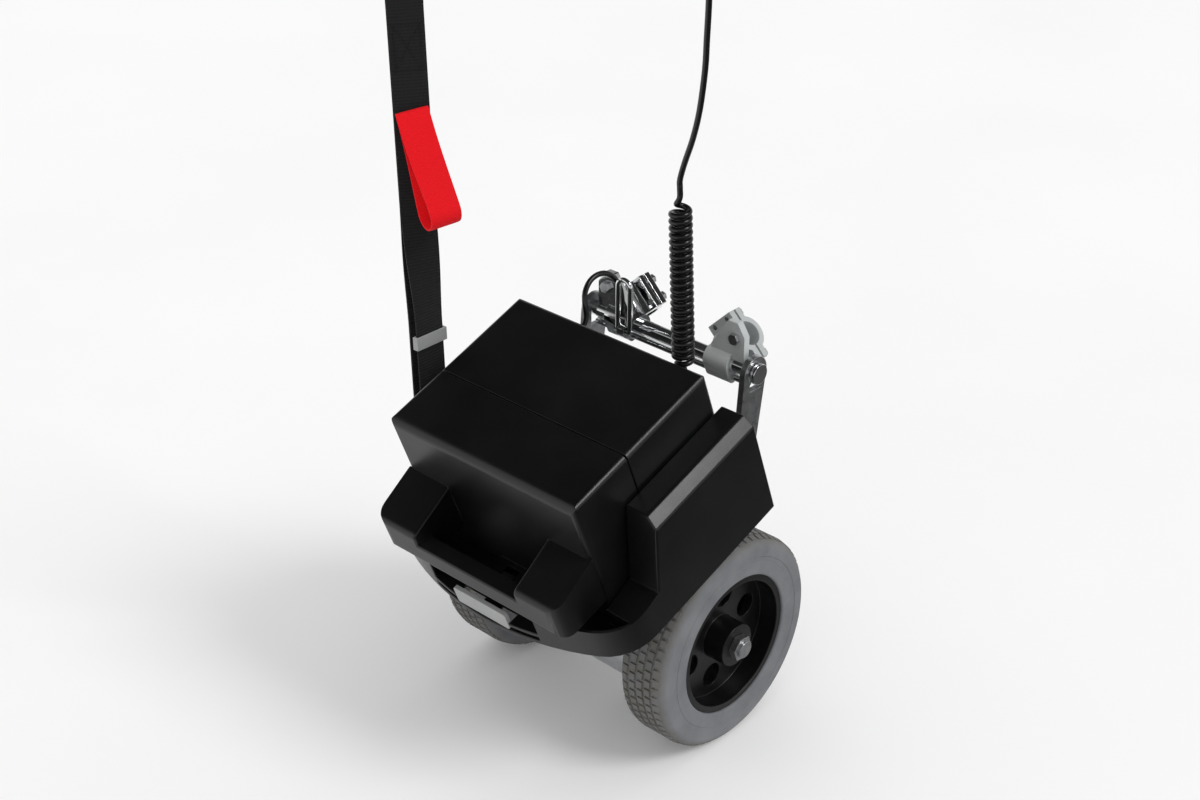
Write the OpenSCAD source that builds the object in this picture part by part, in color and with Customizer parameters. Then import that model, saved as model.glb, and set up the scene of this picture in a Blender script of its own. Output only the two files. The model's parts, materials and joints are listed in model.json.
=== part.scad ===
// Clip-on power assist: a battery drive unit with twin wheels that hangs from a
// short hitch bar, with a lift strap, a curly lead and a hand control.
// The row frame has its origin on the hitch bar, X to the right, Y forward, Z up.
// The drive unit has a frame of its own, with its origin on the axle and tilted back.

/* [Stance] */
// Backward tilt of the drive unit in degrees
unit_tilt = 20; // [16:1:24]
// Distance of the axle behind the hitch bar
axle_back = 63; // [55:1:70]
// Drop of the axle below the hitch bar
axle_drop = 231; // [226:1:238]

/* [Wheels] */
// Outside diameter of a drive wheel
wheel_d = 200; // [190:1:204]
// Width of a tyre
tyre_w = 50; // [44:1:54]
// Distance between the middles of the two tyres
wheel_track = 220; // [216:1:226]
// Diameter of the rim that the tyre sits on
rim_d = 132; // [120:1:140]
// Diameter of the axle
axle_d = 16; // [14:1:18]

/* [Housing] */
// Width of the battery and of the front cover
body_w = 214; // [206:1:218]
// Height of the flat top above the deck
body_top = 135; // [128:1:148]
// Front wall of the cover, ahead of the axle
cover_front = 74; // [70:1:76]
// Seam between battery and cover, behind the axle
seam_back = 28; // [24:1:34]
// Rear wall of the battery, behind the axle
body_back = 94; // [90:1:98]
// Thickness of the moulded walls
wall = 3; // [2.5:0.5:4]
// Radius of the long top edges
edge_r = 6; // [4:1:8]
// Radius of the rear top edge
back_edge_r = 10; // [6:1:12]
// Open seam between battery and cover
seam_gap = 1; // [0.6:0.1:1.6]

/* [Battery handle] */
// Reach of the handle behind the battery
handle_reach = 50; // [46:1:54]
// Height of the shoulders at the battery, above the handle's underside
handle_top = 50; // [46:1:56]
// Height of the shoulders at their rear end, above the handle's underside
handle_nose = 37; // [33:1:41]
// Height of the underside of the handle, above the tray's rim
handle_foot = 6; // [5:1:12]
// Width of the finger pocket
grip_w = 116; // [100:1:124]
// Thickness of the grip bar, front to back
bar_t = 15; // [12:1:18]
// Height of the top of the grip bar, above the handle's underside
bar_top = 24; // [20:1:28]
// Corner radius of the handle seen from above
handle_r = 14; // [10:1:20]

/* [Tray] */
// Width of the tray beyond the housing, both sides together
tray_w = 68; // [64:1:76]
// Rearmost point of the tray, behind the battery's rear wall
tray_back = 51; // [49:1:56]
// Front edge of the tray, ahead of the cover
tray_front = 6; // [4:1:10]
// Bottom of the skirt, below the deck's underside
skirt_foot = 10; // [8:0.5:12]
// Top of the rim, above the deck
rim_top = 18; // [14:1:22]
// Thickness of the skirt
skirt_t = 3.5; // [3:0.5:4.5]
// Radius of the bowed rear of the tray
bow_r = 300; // [280:5:340]
// Radius of the rear corners of the tray
tray_r = 45; // [40:1:50]
// Underside of the deck, above the tops of the wheels
deck_foot = 18; // [17:0.5:19]
// Thickness of the deck
deck_t = 4; // [3.5:0.5:5]
// Top of the side pods, above the rim
pod_top = 76; // [68:1:82]
// Chamfer along the top of the side pods
pod_chamfer = 10; // [6:1:14]

/* [Latch] */
// Width of the push plate
plate_w = 62; // [54:1:70]
// Height of the push plate
plate_h = 19; // [16:1:20]
// Width of the window round the push plate
window_w = 122; // [112:1:128]
// Travel of the push plate
latch_travel = 6; // [4:0.5:7]

/* [Drive] */
// Teeth of the axle gear
gear_teeth = 54; // [50:1:56]
// Teeth of the motor pinion
pinion_teeth = 12; // [12:1:14]
// Module of the gears
gear_module = 2; // [1.8:0.1:2]
// Width of the axle gear
gear_w = 12; // [8:1:14]
// Reach of the round gear case beyond the room for its gear
case_r = 10; // [6:1:12]
// Diameter of the motor
motor_d = 66; // [60:1:68]

/* [Hitch] */
// Diameter of the hitch bar
bar_d = 14; // [12:0.5:15]
// Diameter of the tie rod below it
rod_d = 6; // [5:0.5:7]
// Gap between the hitch bar and the tie rod
rod_drop = 2.5; // [2:0.5:4]
// Distance between the two brace clamps
clamp_span = 116; // [112:1:118]
// Diameter of the brace tubes that the clamps hold
brace_d = 22.2; // [20:0.2:25.4]
// Length of a brace clamp along its tube
clamp_l = 32; // [28:1:34]
// Wall of a brace clamp
clamp_wall = 5; // [4:0.5:6]
// Angle of the brace tubes from upright
brace_angle = 45; // [35:1:50]
// Distance of a hitch arm outboard of the middle of its clamp
arm_span = 34; // [33:1:37]
// Thickness of a hitch arm
arm_t = 6; // [5:0.5:7]

/* [Strap] */
// Width of the lift strap
strap_w = 30; // [25:1:32]
// Thickness of the webbing
strap_t = 2; // [1.5:0.1:2.5]
// Width of the pull loop
loop_w = 28; // [24:1:30]

/* [Hand control] */
// Length of the hand control
pad_l = 68; // [60:1:76]
// Width of the hand control
pad_w = 42; // [38:1:46]
// Height of the hand control
pad_h = 30; // [26:1:34]
// Diameter of the handle tube that its clamp holds
grip_tube_d = 22.2; // [20:0.2:25.4]

/* [Lead] */
// Diameter of the lead
lead_d = 5; // [4.5:0.1:5.5]
// Outside diameter of the curls
curl_d = 20; // [18:0.5:21]
// Number of curls
curls = 24; // [20:1:26]

/* [Hidden] */

// Shared clearances and fineness
over = 1;             // overrun of every cut
slip = 0.05;          // radial running clearance of a shaft
seat = 0.05;          // radial clearance of a seated ring
fit = 0.4;            // clearance between pieces that move past each other
arc_steps = 6;        // straight steps in a quarter round
link_steps = 14;      // straight steps in a round end of a link
$fn = 48;

// Places that several pieces share, in the unit frame
wheel_r = wheel_d / 2;
wheel_x = wheel_track / 2;
half_w = body_w / 2;
tray_x = half_w + tray_w / 2;
clamp_x = clamp_span / 2;
arm_x = clamp_x + arm_span;
deck_foot_v = wheel_r + deck_foot;
deck_top = deck_foot_v + deck_t;
skirt_foot_v = deck_foot_v - skirt_foot;
rim_top_v = deck_top + rim_top;
pod_top_v = rim_top_v + pod_top;
body_top_v = deck_top + body_top;
handle_foot_v = rim_top_v + handle_foot;
bar_top_v = handle_foot_v + bar_top;
handle_nose_v = handle_foot_v + handle_nose;
handle_top_v = handle_foot_v + handle_top;
tray_back_u = body_back + tray_back;
tray_front_u = cover_front + tray_front;
case_gap = 5;             // gear case short of the tyre
case_x1 = wheel_x - tyre_w / 2 - case_gap;
stem_in = 3;              // forward end of the latch stem, behind the battery
stem_front = body_back + stem_in;
spring_room = 29;         // room for the latch spring, ahead of the stem
guide_front = stem_front - spring_room;
bar_u = axle_back * cos(unit_tilt) + axle_drop * sin(unit_tilt);
bar_v = axle_drop * cos(unit_tilt) - axle_back * sin(unit_tilt);
bar_r = bar_d / 2;
rod_z = bar_r + rod_drop + rod_d / 2;

// The unit frame: origin on the axle, tilted back about the axle
module unit_frame() {
    translate([0, -axle_back, -axle_drop]) rotate([unit_tilt, 0, 0]) children();
}
// A point of the unit frame, in the row frame
function unit_point(p) = [p[0],
    p[1] * cos(unit_tilt) - p[2] * sin(unit_tilt) - axle_back,
    p[1] * sin(unit_tilt) + p[2] * cos(unit_tilt) - axle_drop];

// Extrusions of a flat outline along each axis, from one place to another
module along_x(x0, x1) { translate([x0, 0, 0]) rotate([90, 0, 90]) linear_extrude(x1 - x0) children(); }
module along_y(y0, y1) { translate([0, y1, 0]) rotate([90, 0, 0]) linear_extrude(y1 - y0) children(); }
module along_z(z0, z1) { translate([0, 0, z0]) linear_extrude(z1 - z0) children(); }
module round_x(r, x0, x1) { translate([x0, 0, 0]) rotate([0, 90, 0]) cylinder(r = r, h = x1 - x0); }
module round_y(r, y0, y1) { translate([0, y0, 0]) rotate([-90, 0, 0]) cylinder(r = r, h = y1 - y0); }
module round_z(r, z0, z1) { translate([0, 0, z0]) cylinder(r = r, h = z1 - z0); }
module box(lo, hi) { translate(lo) cube(hi - lo); }
module mirrored() { children(); mirror([1, 0, 0]) children(); }

// Outlines with round corners: radii run round from the low corner, 0 is sharp
function arc_points(c, r, from, to, n) =
    [for (i = [0:n]) let (a = from + (to - from) * i / n) [c[0] + r * cos(a), c[1] + r * sin(a)]];
function corner(x, y, dx, dy, r, from) =
    r > 0 ? arc_points([x + dx * r, y + dy * r], r, from, from + 90, arc_steps) : [[x, y]];
function soft_points(lo, hi, r) = concat(
    corner(lo[0], lo[1], 1, 1, r[0], 180), corner(hi[0], lo[1], -1, 1, r[1], 270),
    corner(hi[0], hi[1], -1, -1, r[2], 0), corner(lo[0], hi[1], 1, -1, r[3], 90));
// A block whose outline from above, from the side and from the front is rounded
module soft_block(lo, hi, plan, side, front) {
    intersection() {
        along_z(lo[2], hi[2]) polygon(soft_points([lo[0], lo[1]], [hi[0], hi[1]], plan));
        along_x(lo[0], hi[0]) polygon(soft_points([lo[1], lo[2]], [hi[1], hi[2]], side));
        along_y(lo[1], hi[1]) polygon(soft_points([lo[0], lo[2]], [hi[0], hi[2]], front));
    }
}
// Flat link: two round ends and the straight sides that touch both
function link_points(p, rp, q, rq) =
    let (along = atan2(q[1] - p[1], q[0] - p[0]), open = acos((rp - rq) / norm(q - p)))
    concat(arc_points(q, rq, along - open, along + open, link_steps),
           arc_points(p, rp, along + open, along + 360 - open, link_steps));
module link(p, rp, q, rq) { polygon(link_points(p, rp, q, rq)); }
// Hexagon-headed bolt along +Z, with the underside of its head at zero
module hex_bolt(d, grip, head_w, head_h) {
    translate([0, 0, -grip]) cylinder(d = d, h = grip);
    cylinder(d = head_w, h = head_h, $fn = 6);
}
// Pan-headed screw along +Z with a straight slot, underside of its head at zero
module pan_screw(d, grip, head_d, head_h, slot) {
    translate([0, 0, -grip]) cylinder(d = d, h = grip);
    difference() {
        cylinder(d = head_d, h = head_h);
        translate([0, 0, head_h]) cube([head_d, slot, head_h], center = true);
    }
}

// Tubes swept along a list of points; each ring is turned towards its own side vector
function unit_vec(v) = v / norm(v);
function heading(p, i) = unit_vec(p[min(i + 1, len(p) - 1)] - p[max(i - 1, 0)]);
function ring(c, t, side, r, sides) =
    let (b = unit_vec(cross(t, side)), a = cross(b, t))
    [for (k = [0:sides - 1]) c + r * (a * cos(360 * k / sides) + b * sin(360 * k / sides))];
module swept_tube(path, side, r, sides) {
    last = len(path) - 1;
    pts = [for (i = [0:last]) each ring(path[i], heading(path, i), side[i], r, sides)];
    faces = concat(
        [for (i = [0:last - 1], k = [0:sides - 1])
            [i * sides + k, (i + 1) * sides + k, (i + 1) * sides + (k + 1) % sides]],
        [for (i = [0:last - 1], k = [0:sides - 1])
            [i * sides + k, (i + 1) * sides + (k + 1) % sides, i * sides + (k + 1) % sides]],
        [for (k = [1:sides - 2]) [0, k, k + 1]],
        [for (k = [1:sides - 2]) [last * sides, last * sides + k + 1, last * sides + k]]);
    polyhedron(points = pts, faces = faces, convexity = 10);
}
function same_side(path, s) = [for (p = path) s];
// Smooth step from 0 to 1
function ease(t) = let (c = min(max(t, 0), 1)) c * c * (3 - 2 * c);
// Least gap between stretches of a coil that lie at least this many rings apart
function self_gap(path, apart, d) =
    min([for (i = [0:len(path) - 1], j = [i + apart:1:min(len(path) - 1, i + 3 * apart)])
        norm(path[i] - path[j])]) - d;

// Colours
chrome = [0.78, 0.79, 0.8];
zinc = [0.66, 0.67, 0.67];
alloy = [0.72, 0.73, 0.74];
black = [0.07, 0.07, 0.075];
dark = [0.13, 0.13, 0.14];
tyre_grey = [0.33, 0.34, 0.35];
pale_grey = [0.72, 0.74, 0.73];
red = [0.75, 0.06, 0.08];
brass = [0.8, 0.62, 0.25];

// Hitch bar and tie rod
bar_over = 5;             // bar beyond each arm
bar_cap_t = 4;
bar_cap_lip = 5;          // end caps wider than the bar
bar_cap_d = bar_d + bar_cap_lip;
bar_end = arm_x + arm_t / 2 + bar_over;
module crossbar() {
    color(chrome) {
        round_x(bar_r, -bar_end, bar_end);
        for (x = [-bar_end, bar_end - bar_cap_t]) round_x(bar_cap_d / 2, x, x + bar_cap_t);
    }
}
rod_gap = 0.6;            // tie rod short of the hitch arms
rod_end = arm_x - arm_t / 2 - rod_gap;
module tie_rod() { color(chrome) translate([0, 0, -rod_z]) round_x(rod_d / 2, -rod_end, rod_end); }

// Brace clamps: a half that hangs on the bar, and a cap in front
brace_r = brace_d / 2;
brace_relief = 1;         // room round the tube beyond the sleeve
clamp_r = brace_r + clamp_wall;
clamp_web = 3;            // metal between the bar and the brace tube
clamp_y = bar_r + brace_r + clamp_web;
clamp_z = 10;             // sleeves above the bar
clamp_split = 2;          // gap between the halves of a clamp
ear_reach = 8;            // reach of a clamp ear beyond the sleeve
ear_t = 6;                // thickness of one clamp ear
clamp_bolt_d = 5;
clamp_bolt_head = 9;
clamp_bolt_head_h = 4;
bolt_row_share = 0.28;    // bolt place along the clamp, as a share of its length
ear_mid = clamp_r + ear_reach / 2;
boss_t = 4;               // wall of the boss on the bar
boss_l = 26;              // length of the boss along the bar
rod_wall = 3;             // wall round the tie rod
cheek_gap = 5;            // cheek short of the hitch arm
cheek_out = arm_span - arm_t / 2 - cheek_gap;
cheek_crop = [8, 18];     // ends of the cheek's top, inside its outer edge
// Upright cheek of the bracket, from the middle of its clamp
cheek = [[-10, 0], [cheek_out, 0], [cheek_out, 30], [cheek_out - cheek_crop[0], 42],
         [cheek_out - cheek_crop[1], 42], [-10, 14]];
cheek_t = 7;
cheek_bolt_in = 10;       // bolt through the cheek, inside its outer edge
cheek_bolt = [clamp_x + cheek_out - cheek_bolt_in, 27];
cheek_bolt_d = 6;
cheek_bolt_head = 11;
cheek_bolt_head_h = 4;
lug_l = 8;                // width of the lug that carries the bail
lug_h = 6;                // half height of the lug
bail_in = 20;             // bail inboard of the left clamp
bail_x = clamp_x - bail_in;
bail_y = 20;              // bail pivot behind the bar
bail_z = 2;               // bail pivot above the bar
bail_wire = 2.5;          // radius of the bail wire
bail_half = 7;            // half width of the bail, between wire centres
bail_leg = 42;            // straight length of a bail leg
bail_pin = 10;            // half length of the bail pin
module brace_frame(side) {
    translate([side * clamp_x, clamp_y, clamp_z]) rotate([0, side * brace_angle, 0]) children();
}
module clamp_body(front) {
    lo = front ? clamp_split / 2 : -clamp_r - over;
    hi = front ? clamp_r + over : -clamp_split / 2;
    ear_lo = front ? clamp_split / 2 : -clamp_split / 2 - ear_t;
    intersection() {
        round_z(clamp_r, -clamp_l / 2, clamp_l / 2);
        box([-clamp_r - over, lo, -clamp_l], [clamp_r + over, hi, clamp_l]);
    }
    box([-clamp_r - ear_reach, ear_lo, -clamp_l / 2], [clamp_r + ear_reach, ear_lo + ear_t, clamp_l / 2]);
}
module clamp_cuts() {
    round_z(brace_r, -clamp_l, clamp_l);
    for (x = [-ear_mid, ear_mid], z = [-1, 1]) translate([x, 0, z * clamp_l * bolt_row_share])
        round_y(clamp_bolt_d / 2 + seat, -clamp_r, clamp_r);
}
module clamp_half(front) {
    difference() {
        clamp_body(front);
        clamp_cuts();
    }
}
module bar_half(side, lug) {
    x0 = side * clamp_x - boss_l / 2;
    x1 = side * clamp_x + boss_l / 2;
    difference() {
        union() {
            brace_frame(side) clamp_body(false);
            difference() {
                union() {
                    along_x(x0, x1) link([0, 0], bar_r + boss_t, [0, -rod_z], rod_d / 2 + rod_wall);
                    box([x0, 0, -bar_r], [x1, clamp_y - clamp_split / 2 - ear_t / 2, bar_r + boss_t / 2]);
                    along_y(-cheek_t / 2, cheek_t / 2)
                        polygon([for (q = cheek) [side * (clamp_x + q[0]), q[1]]]);
                    if (lug) along_x(-bail_x - lug_l / 2, -bail_x + lug_l / 2)
                        link([-bail_y, bail_z], lug_h, [0, 0], bar_r + boss_t);
                    if (lug) along_x(-clamp_x, -bail_x) circle(r = bar_r + boss_t / 2);
                }
                brace_frame(side) round_z(brace_r + brace_relief, -2 * clamp_l, 2 * clamp_l);
            }
        }
        brace_frame(side) clamp_cuts();
        round_x(bar_r + seat, -bar_end, bar_end);
        translate([0, 0, -rod_z]) round_x(rod_d / 2 + seat, -bar_end, bar_end);
        translate([-bail_x, -bail_y, bail_z]) round_x(bail_wire + slip, -lug_l, lug_l);
        if (lug) translate(cable_end) round_z(cable_r + seat, 0, clamp_r);
        translate([side * cheek_bolt[0], 0, cheek_bolt[1]])
            round_y(cheek_bolt_d / 2 + seat, -cheek_t, cheek_t);
    }
}
module left_brace_clamp() { color(chrome) bar_half(-1, true); }
module right_brace_clamp() { color(pale_grey) bar_half(1, false); }
module left_clamp_cap() { color(chrome) brace_frame(-1) clamp_half(true); }
module right_clamp_cap() { color(pale_grey) brace_frame(1) clamp_half(true); }
module clamp_bolts() {
    color(zinc) for (side = [-1, 1], x = [-ear_mid, ear_mid], z = [-1, 1])
        brace_frame(side) translate([x, clamp_split / 2 + ear_t, z * clamp_l * bolt_row_share])
            rotate([-90, 0, 0])
                hex_bolt(clamp_bolt_d, clamp_split + 2 * ear_t, clamp_bolt_head, clamp_bolt_head_h);
    color(zinc) for (side = [-1, 1]) translate([side * cheek_bolt[0], -cheek_t / 2, cheek_bolt[1]])
        rotate([90, 0, 0]) hex_bolt(cheek_bolt_d, cheek_t, cheek_bolt_head, cheek_bolt_head_h);
}
module bail_lever() {
    color(chrome) translate([-bail_x, -bail_y, bail_z]) {
        round_x(bail_wire, -bail_pin, bail_pin);
        for (x = [-bail_half, bail_half]) translate([x, 0, 0]) round_z(bail_wire, 0, bail_leg);
        translate([0, 0, bail_leg]) rotate([90, 0, 0])
            rotate_extrude(angle = 180) translate([bail_half, 0]) circle(r = bail_wire);
    }
}

// Hitch arms: plates from the chassis up to hooks that hang on the bar
hook_wall = 8;
arm_fwd = 19;             // foot circle of the arm, ahead of the tray
arm_foot_u = tray_front_u + arm_fwd;
arm_foot_v = deck_foot_v;
arm_foot_r = 12;
arm_heel = 34;            // rear end of the arm's foot, behind the tray's front edge
arm_heel_u = tray_front_u - arm_heel;
flange_w = 22;            // width of the foot flange
flange_t = 4;
chassis_t = 4;            // thickness of the chassis plate
plate_foot = deck_foot_v - chassis_t;
arm_bolt_d = 6;
arm_bolt_head = 10;
arm_bolt_head_h = 4;
arm_bolt_back = [26, 9];   // bolts behind the tray's front edge
arm_bolt_u = [for (b = arm_bolt_back) tray_front_u - b];
arm_bolt_in = 12;         // bolts inboard of the arm
bolt_short = 0.4;         // bolt ends below the deck
hook_r = bar_r + hook_wall;
function arm_points() =
    let (p = [arm_foot_u, arm_foot_v], q = [bar_u, bar_v], along = atan2(q[1] - p[1], q[0] - p[0]),
         open = acos((arm_foot_r - hook_r) / norm(q - p)))
    concat(arc_points(q, hook_r, along - open, along + open, link_steps),
           arc_points(p, arm_foot_r, along + open,
                      180 + asin((arm_foot_v - plate_foot) / arm_foot_r), arc_steps),
           [[arm_heel_u, plate_foot], [arm_heel_u, arm_foot_v - arm_foot_r]],
           arc_points(p, arm_foot_r, 270, 360 + along - open, arc_steps));
module arm(side) {
    inner = arm_x - arm_t / 2;
    unit_frame() mirror([side < 0 ? 1 : 0, 0, 0]) difference() {
        union() {
            along_x(inner, inner + arm_t) polygon(arm_points());
            box([inner - flange_w, arm_heel_u, plate_foot - flange_t],
                [inner + arm_t / 2, tray_front_u, plate_foot]);
        }
        translate([0, bar_u, bar_v]) round_x(bar_r + slip, inner - over, inner + arm_t + over);
        translate([0, bar_u, bar_v]) rotate([-unit_tilt, 0, 0])
            box([inner - over, -bar_r - fit, -hook_r - over], [inner + arm_t + over, bar_r + fit, 0]);
        for (u = arm_bolt_u) translate([inner - arm_bolt_in, u, 0])
            round_z(arm_bolt_d / 2 + seat, arm_foot_v - 2 * arm_foot_r, arm_foot_v);
    }
}
module hitch_arm_left() { color(zinc) arm(-1); }
module hitch_arm_right() { color(zinc) arm(1); }
module arm_bolts() {
    color(zinc) unit_frame() for (side = [-1, 1], u = arm_bolt_u)
        translate([side * (arm_x - arm_t / 2 - arm_bolt_in), u, plate_foot - flange_t]) rotate([180, 0, 0])
            hex_bolt(arm_bolt_d, flange_t + chassis_t - bolt_short, arm_bolt_head, arm_bolt_head_h);
}
chassis_rim = 6;          // chassis plate beyond the gear case
chassis_w = 2 * max(arm_x - arm_t, case_x1 + chassis_rim);
chassis_gap = 8;          // chassis plate short of the latch guide
chassis_back = guide_front - chassis_gap;
module chassis_plate() {
    color(zinc) unit_frame() difference() {
        box([-chassis_w / 2, -chassis_back, plate_foot], [chassis_w / 2, tray_front_u, deck_foot_v]);
        for (side = [-1, 1], u = arm_bolt_u) translate([side * (arm_x - arm_t / 2 - arm_bolt_in), u, 0])
            round_z(arm_bolt_d / 2 + seat, plate_foot - over, deck_foot_v + over);
    }
}

// Tray: bowed skirt, deck, side pods, and a window at the rear for the push plate
bow_u = bow_r - tray_back_u;
corner_x = tray_x - tray_r;
corner_u = bow_u - sqrt(pow(bow_r - tray_r, 2) - pow(corner_x, 2));
corner_a = atan2(corner_u - bow_u, -corner_x) + 360;
bow_steps = 16;
function tray_points(t) = concat(
    [[tray_x - t, tray_front_u - t], [t - tray_x, tray_front_u - t]],
    arc_points([-corner_x, corner_u], tray_r - t, 180, corner_a, arc_steps),
    arc_points([0, bow_u], bow_r - t, corner_a, 540 - corner_a, bow_steps),
    arc_points([corner_x, corner_u], tray_r - t, 540 - corner_a, 360, arc_steps));
pod_gap = 1;              // between the cover and a pod
pod_in = half_w + pod_gap;
pod_steps = [[-4, 0], [28, 7], [48, 76]];   // ahead of the battery's rear wall, above the rim
pod_ramp = [for (p = pod_steps) [body_back - p[0], p[1]]];
pod_rise_share = pod_top / pod_ramp[2][1];
window_drop = 5;          // window below the deck's underside
window_foot = deck_foot_v - window_drop;
plate_in = 1.5;           // face of the push plate, inside the tray's rearmost point
plate_face = tray_back_u - plate_in;
plate_t = 4;
stem_half = 10;           // half width of the latch stem
hook_half = 7;            // half width of the latch hook
hook_out = 17;            // rear of the hook, behind the battery
hook_back = body_back + hook_out;
hook_t = 6;
notch_room = 2;           // room behind the pushed plate
notch_u = plate_face - plate_t - latch_travel - notch_room;
module pod_side(t) {
    polygon([[-pod_ramp[0][0] + t, skirt_foot_v - over * t], [-pod_ramp[0][0] + t, rim_top_v - t],
             [-pod_ramp[1][0] + t, rim_top_v + pod_ramp[1][1] * pod_rise_share - t],
             [-pod_ramp[2][0] + t, pod_top_v - t], [tray_front_u - t, pod_top_v - t],
             [tray_front_u - t, skirt_foot_v - over * t]]);
}
module pod(t) {
    intersection() {
        along_x(pod_in + t, tray_x - t) pod_side(t);
        along_z(skirt_foot_v - tray_r, pod_top_v) polygon(tray_points(t));
        along_y(-tray_back_u, tray_front_u) polygon([[pod_in + t, skirt_foot_v - tray_r],
            [tray_x - t, skirt_foot_v - tray_r], [tray_x - t, pod_top_v - pod_chamfer - t / 2],
            [tray_x - pod_chamfer - t / 2, pod_top_v - t], [pod_in + t, pod_top_v - t]]);
    }
}
cover_screw_x = [-60, 60];
cover_screw_up = 10;      // cover screws above the deck
cover_screw_v = deck_top + cover_screw_up;
cover_screw_d = 4;
cover_screw_head = 8;
cover_screw_head_h = 3;
cover_screw_slot = 1;
module base_tray() {
    color(black) unit_frame() difference() {
        union() {
            difference() {
                along_z(skirt_foot_v, rim_top_v) polygon(tray_points(0));
                along_z(skirt_foot_v - over, rim_top_v + over) polygon(tray_points(skirt_t));
                box([-tray_x - over, tray_front_u - 2 * skirt_t, skirt_foot_v - over],
                    [tray_x + over, tray_front_u + over, deck_foot_v]);
            }
            along_z(deck_foot_v, deck_top) polygon(tray_points(0));
            mirrored() pod(0);
        }
        mirrored() pod(wall);
        box([-window_w / 2, -tray_back_u - over, window_foot],
            [window_w / 2, -chassis_back - over, deck_foot_v]);
        box([-window_w / 2, -tray_back_u - over, deck_top],
            [window_w / 2, -body_back - handle_reach / 2, rim_top_v + over]);
        box([-plate_w / 2 - fit, -tray_back_u - over, window_foot],
            [plate_w / 2 + fit, -notch_u, rim_top_v]);
        box([-hook_half - fit, -hook_back - fit, deck_foot_v - over],
            [hook_half + fit, -hook_back + hook_t + latch_travel + fit, deck_top + over]);
        mirrored() box([arm_x - arm_t / 2 - flange_w - fit, arm_heel_u - fit, skirt_foot_v - over],
            [arm_x + arm_t / 2 + fit, tray_front_u + over, plate_foot + fit]);
        for (x = cover_screw_x) translate([x, 0, cover_screw_v])
            round_y(cover_screw_d / 2 + seat, cover_front, tray_front_u + over);
    }
}

// Front cover and its screws
cover_screw_l = tray_front_u - cover_front + wall;
module front_cover() {
    r = edge_r;
    color(black) unit_frame() difference() {
        soft_block([-half_w, -seam_back, deck_top], [half_w, cover_front, body_top_v],
                   [0, 0, r, r], [0, 0, r, 0], [0, 0, r, r]);
        soft_block([wall - half_w, wall - seam_back, deck_top - over],
                   [half_w - wall, cover_front - wall, body_top_v - wall],
                   [0, 0, r / 2, r / 2], [0, 0, r / 2, 0], [0, 0, r / 2, r / 2]);
        for (x = cover_screw_x) translate([x, 0, cover_screw_v])
            round_y(cover_screw_d / 2 + seat, cover_front - 2 * wall, cover_front + over);
    }
}
module cover_screws() {
    color(zinc) unit_frame() for (x = cover_screw_x) translate([x, tray_front_u, cover_screw_v])
        rotate([-90, 0, 0])
            pan_screw(cover_screw_d, cover_screw_l, cover_screw_head, cover_screw_head_h, cover_screw_slot);
}

// Battery: case with handle, base, cell blocks and contacts
battery_foot = deck_top + fit;
battery_front = seam_back + seam_gap;
nose_r = 7;               // rounding of the handle's rear edges
base_t = 4;
strike_out = 24;          // rear end of the latch strike, behind the battery
strike_u = body_back + strike_out;
strike_half = 20;
strike_t = 6;
dock_half = [20, 10];     // half width and half depth of the dock connector
dock_u = (body_back + battery_front) / 2;
dock_h = 9;
dock_gap = 2.5;           // room round the dock connector
blade_x = 10;
blade_half = [1, 6];
blade_h = 12;
socket_half = [5, 9];
socket_lift = 4;          // underside of a socket above the dock
block_gap = 1;            // cell block inside the case
block_top = 12;           // cell block below the lid
pocket_top = deck_top + dock_h + socket_lift + blade_h;
module battery_case() {
    r = edge_r;
    hb = body_back + handle_reach;
    color(black) unit_frame() difference() {
        union() {
            difference() {
                soft_block([-half_w, -body_back, battery_foot], [half_w, -battery_front, body_top_v],
                           [r, r, 0, 0], [0, 0, 0, back_edge_r], [0, 0, r, r]);
                soft_block([wall - half_w, wall - body_back, battery_foot - over],
                           [half_w - wall, -battery_front - wall, body_top_v - wall],
                           [r / 2, r / 2, 0, 0], [0, 0, 0, back_edge_r - wall], [0, 0, r / 2, r / 2]);
            }
            intersection() {
                along_x(-half_w, half_w) polygon(concat(
                    arc_points([nose_r - hb, handle_foot_v + nose_r], nose_r, 180, 270, arc_steps),
                    [[-body_back + wall / 2, handle_foot_v], [-body_back + wall / 2, handle_top_v],
                     [-body_back, handle_top_v]],
                    arc_points([nose_r - hb, handle_nose_v - nose_r], nose_r, 90 + handle_lean, 180,
                               arc_steps)));
                along_z(handle_foot_v, handle_top_v) polygon(soft_points([-half_w, -hb],
                    [half_w, -body_back + wall], [handle_r, handle_r, 0, 0]));
            }
            box([-strike_half, -strike_u, battery_foot],
                [strike_half, -body_back + wall / 2, battery_foot + strike_t]);
        }
        box([-grip_w / 2, -hb - over, bar_top_v], [grip_w / 2, -body_back, handle_top_v + over]);
        along_z(handle_foot_v - over, handle_top_v) polygon(soft_points([-grip_w / 2, -hb + bar_t],
            [grip_w / 2, -body_back], [bar_t / 2, bar_t / 2, 0, 0]));
        box([-hook_half - fit, -hook_back - fit, battery_foot - over],
            [hook_half + fit, -hook_back + hook_t + latch_travel + fit, battery_foot + strike_t + over]);
    }
}
handle_lean = atan2(handle_top_v - handle_nose_v, handle_reach);
module battery_base() {
    color(dark) unit_frame() difference() {
        along_z(battery_foot, battery_foot + base_t) polygon(soft_points(
            [-half_w + wall + seat, -body_back + wall + seat],
            [half_w - wall - seat, -battery_front - wall - seat], [edge_r / 2, edge_r / 2, 0, 0]));
        box([-dock_half[0] - dock_gap, -dock_u - dock_half[1] - dock_gap, battery_foot - over],
            [dock_half[0] + dock_gap, -dock_u + dock_half[1] + dock_gap, battery_foot + base_t + over]);
    }
}
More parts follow.
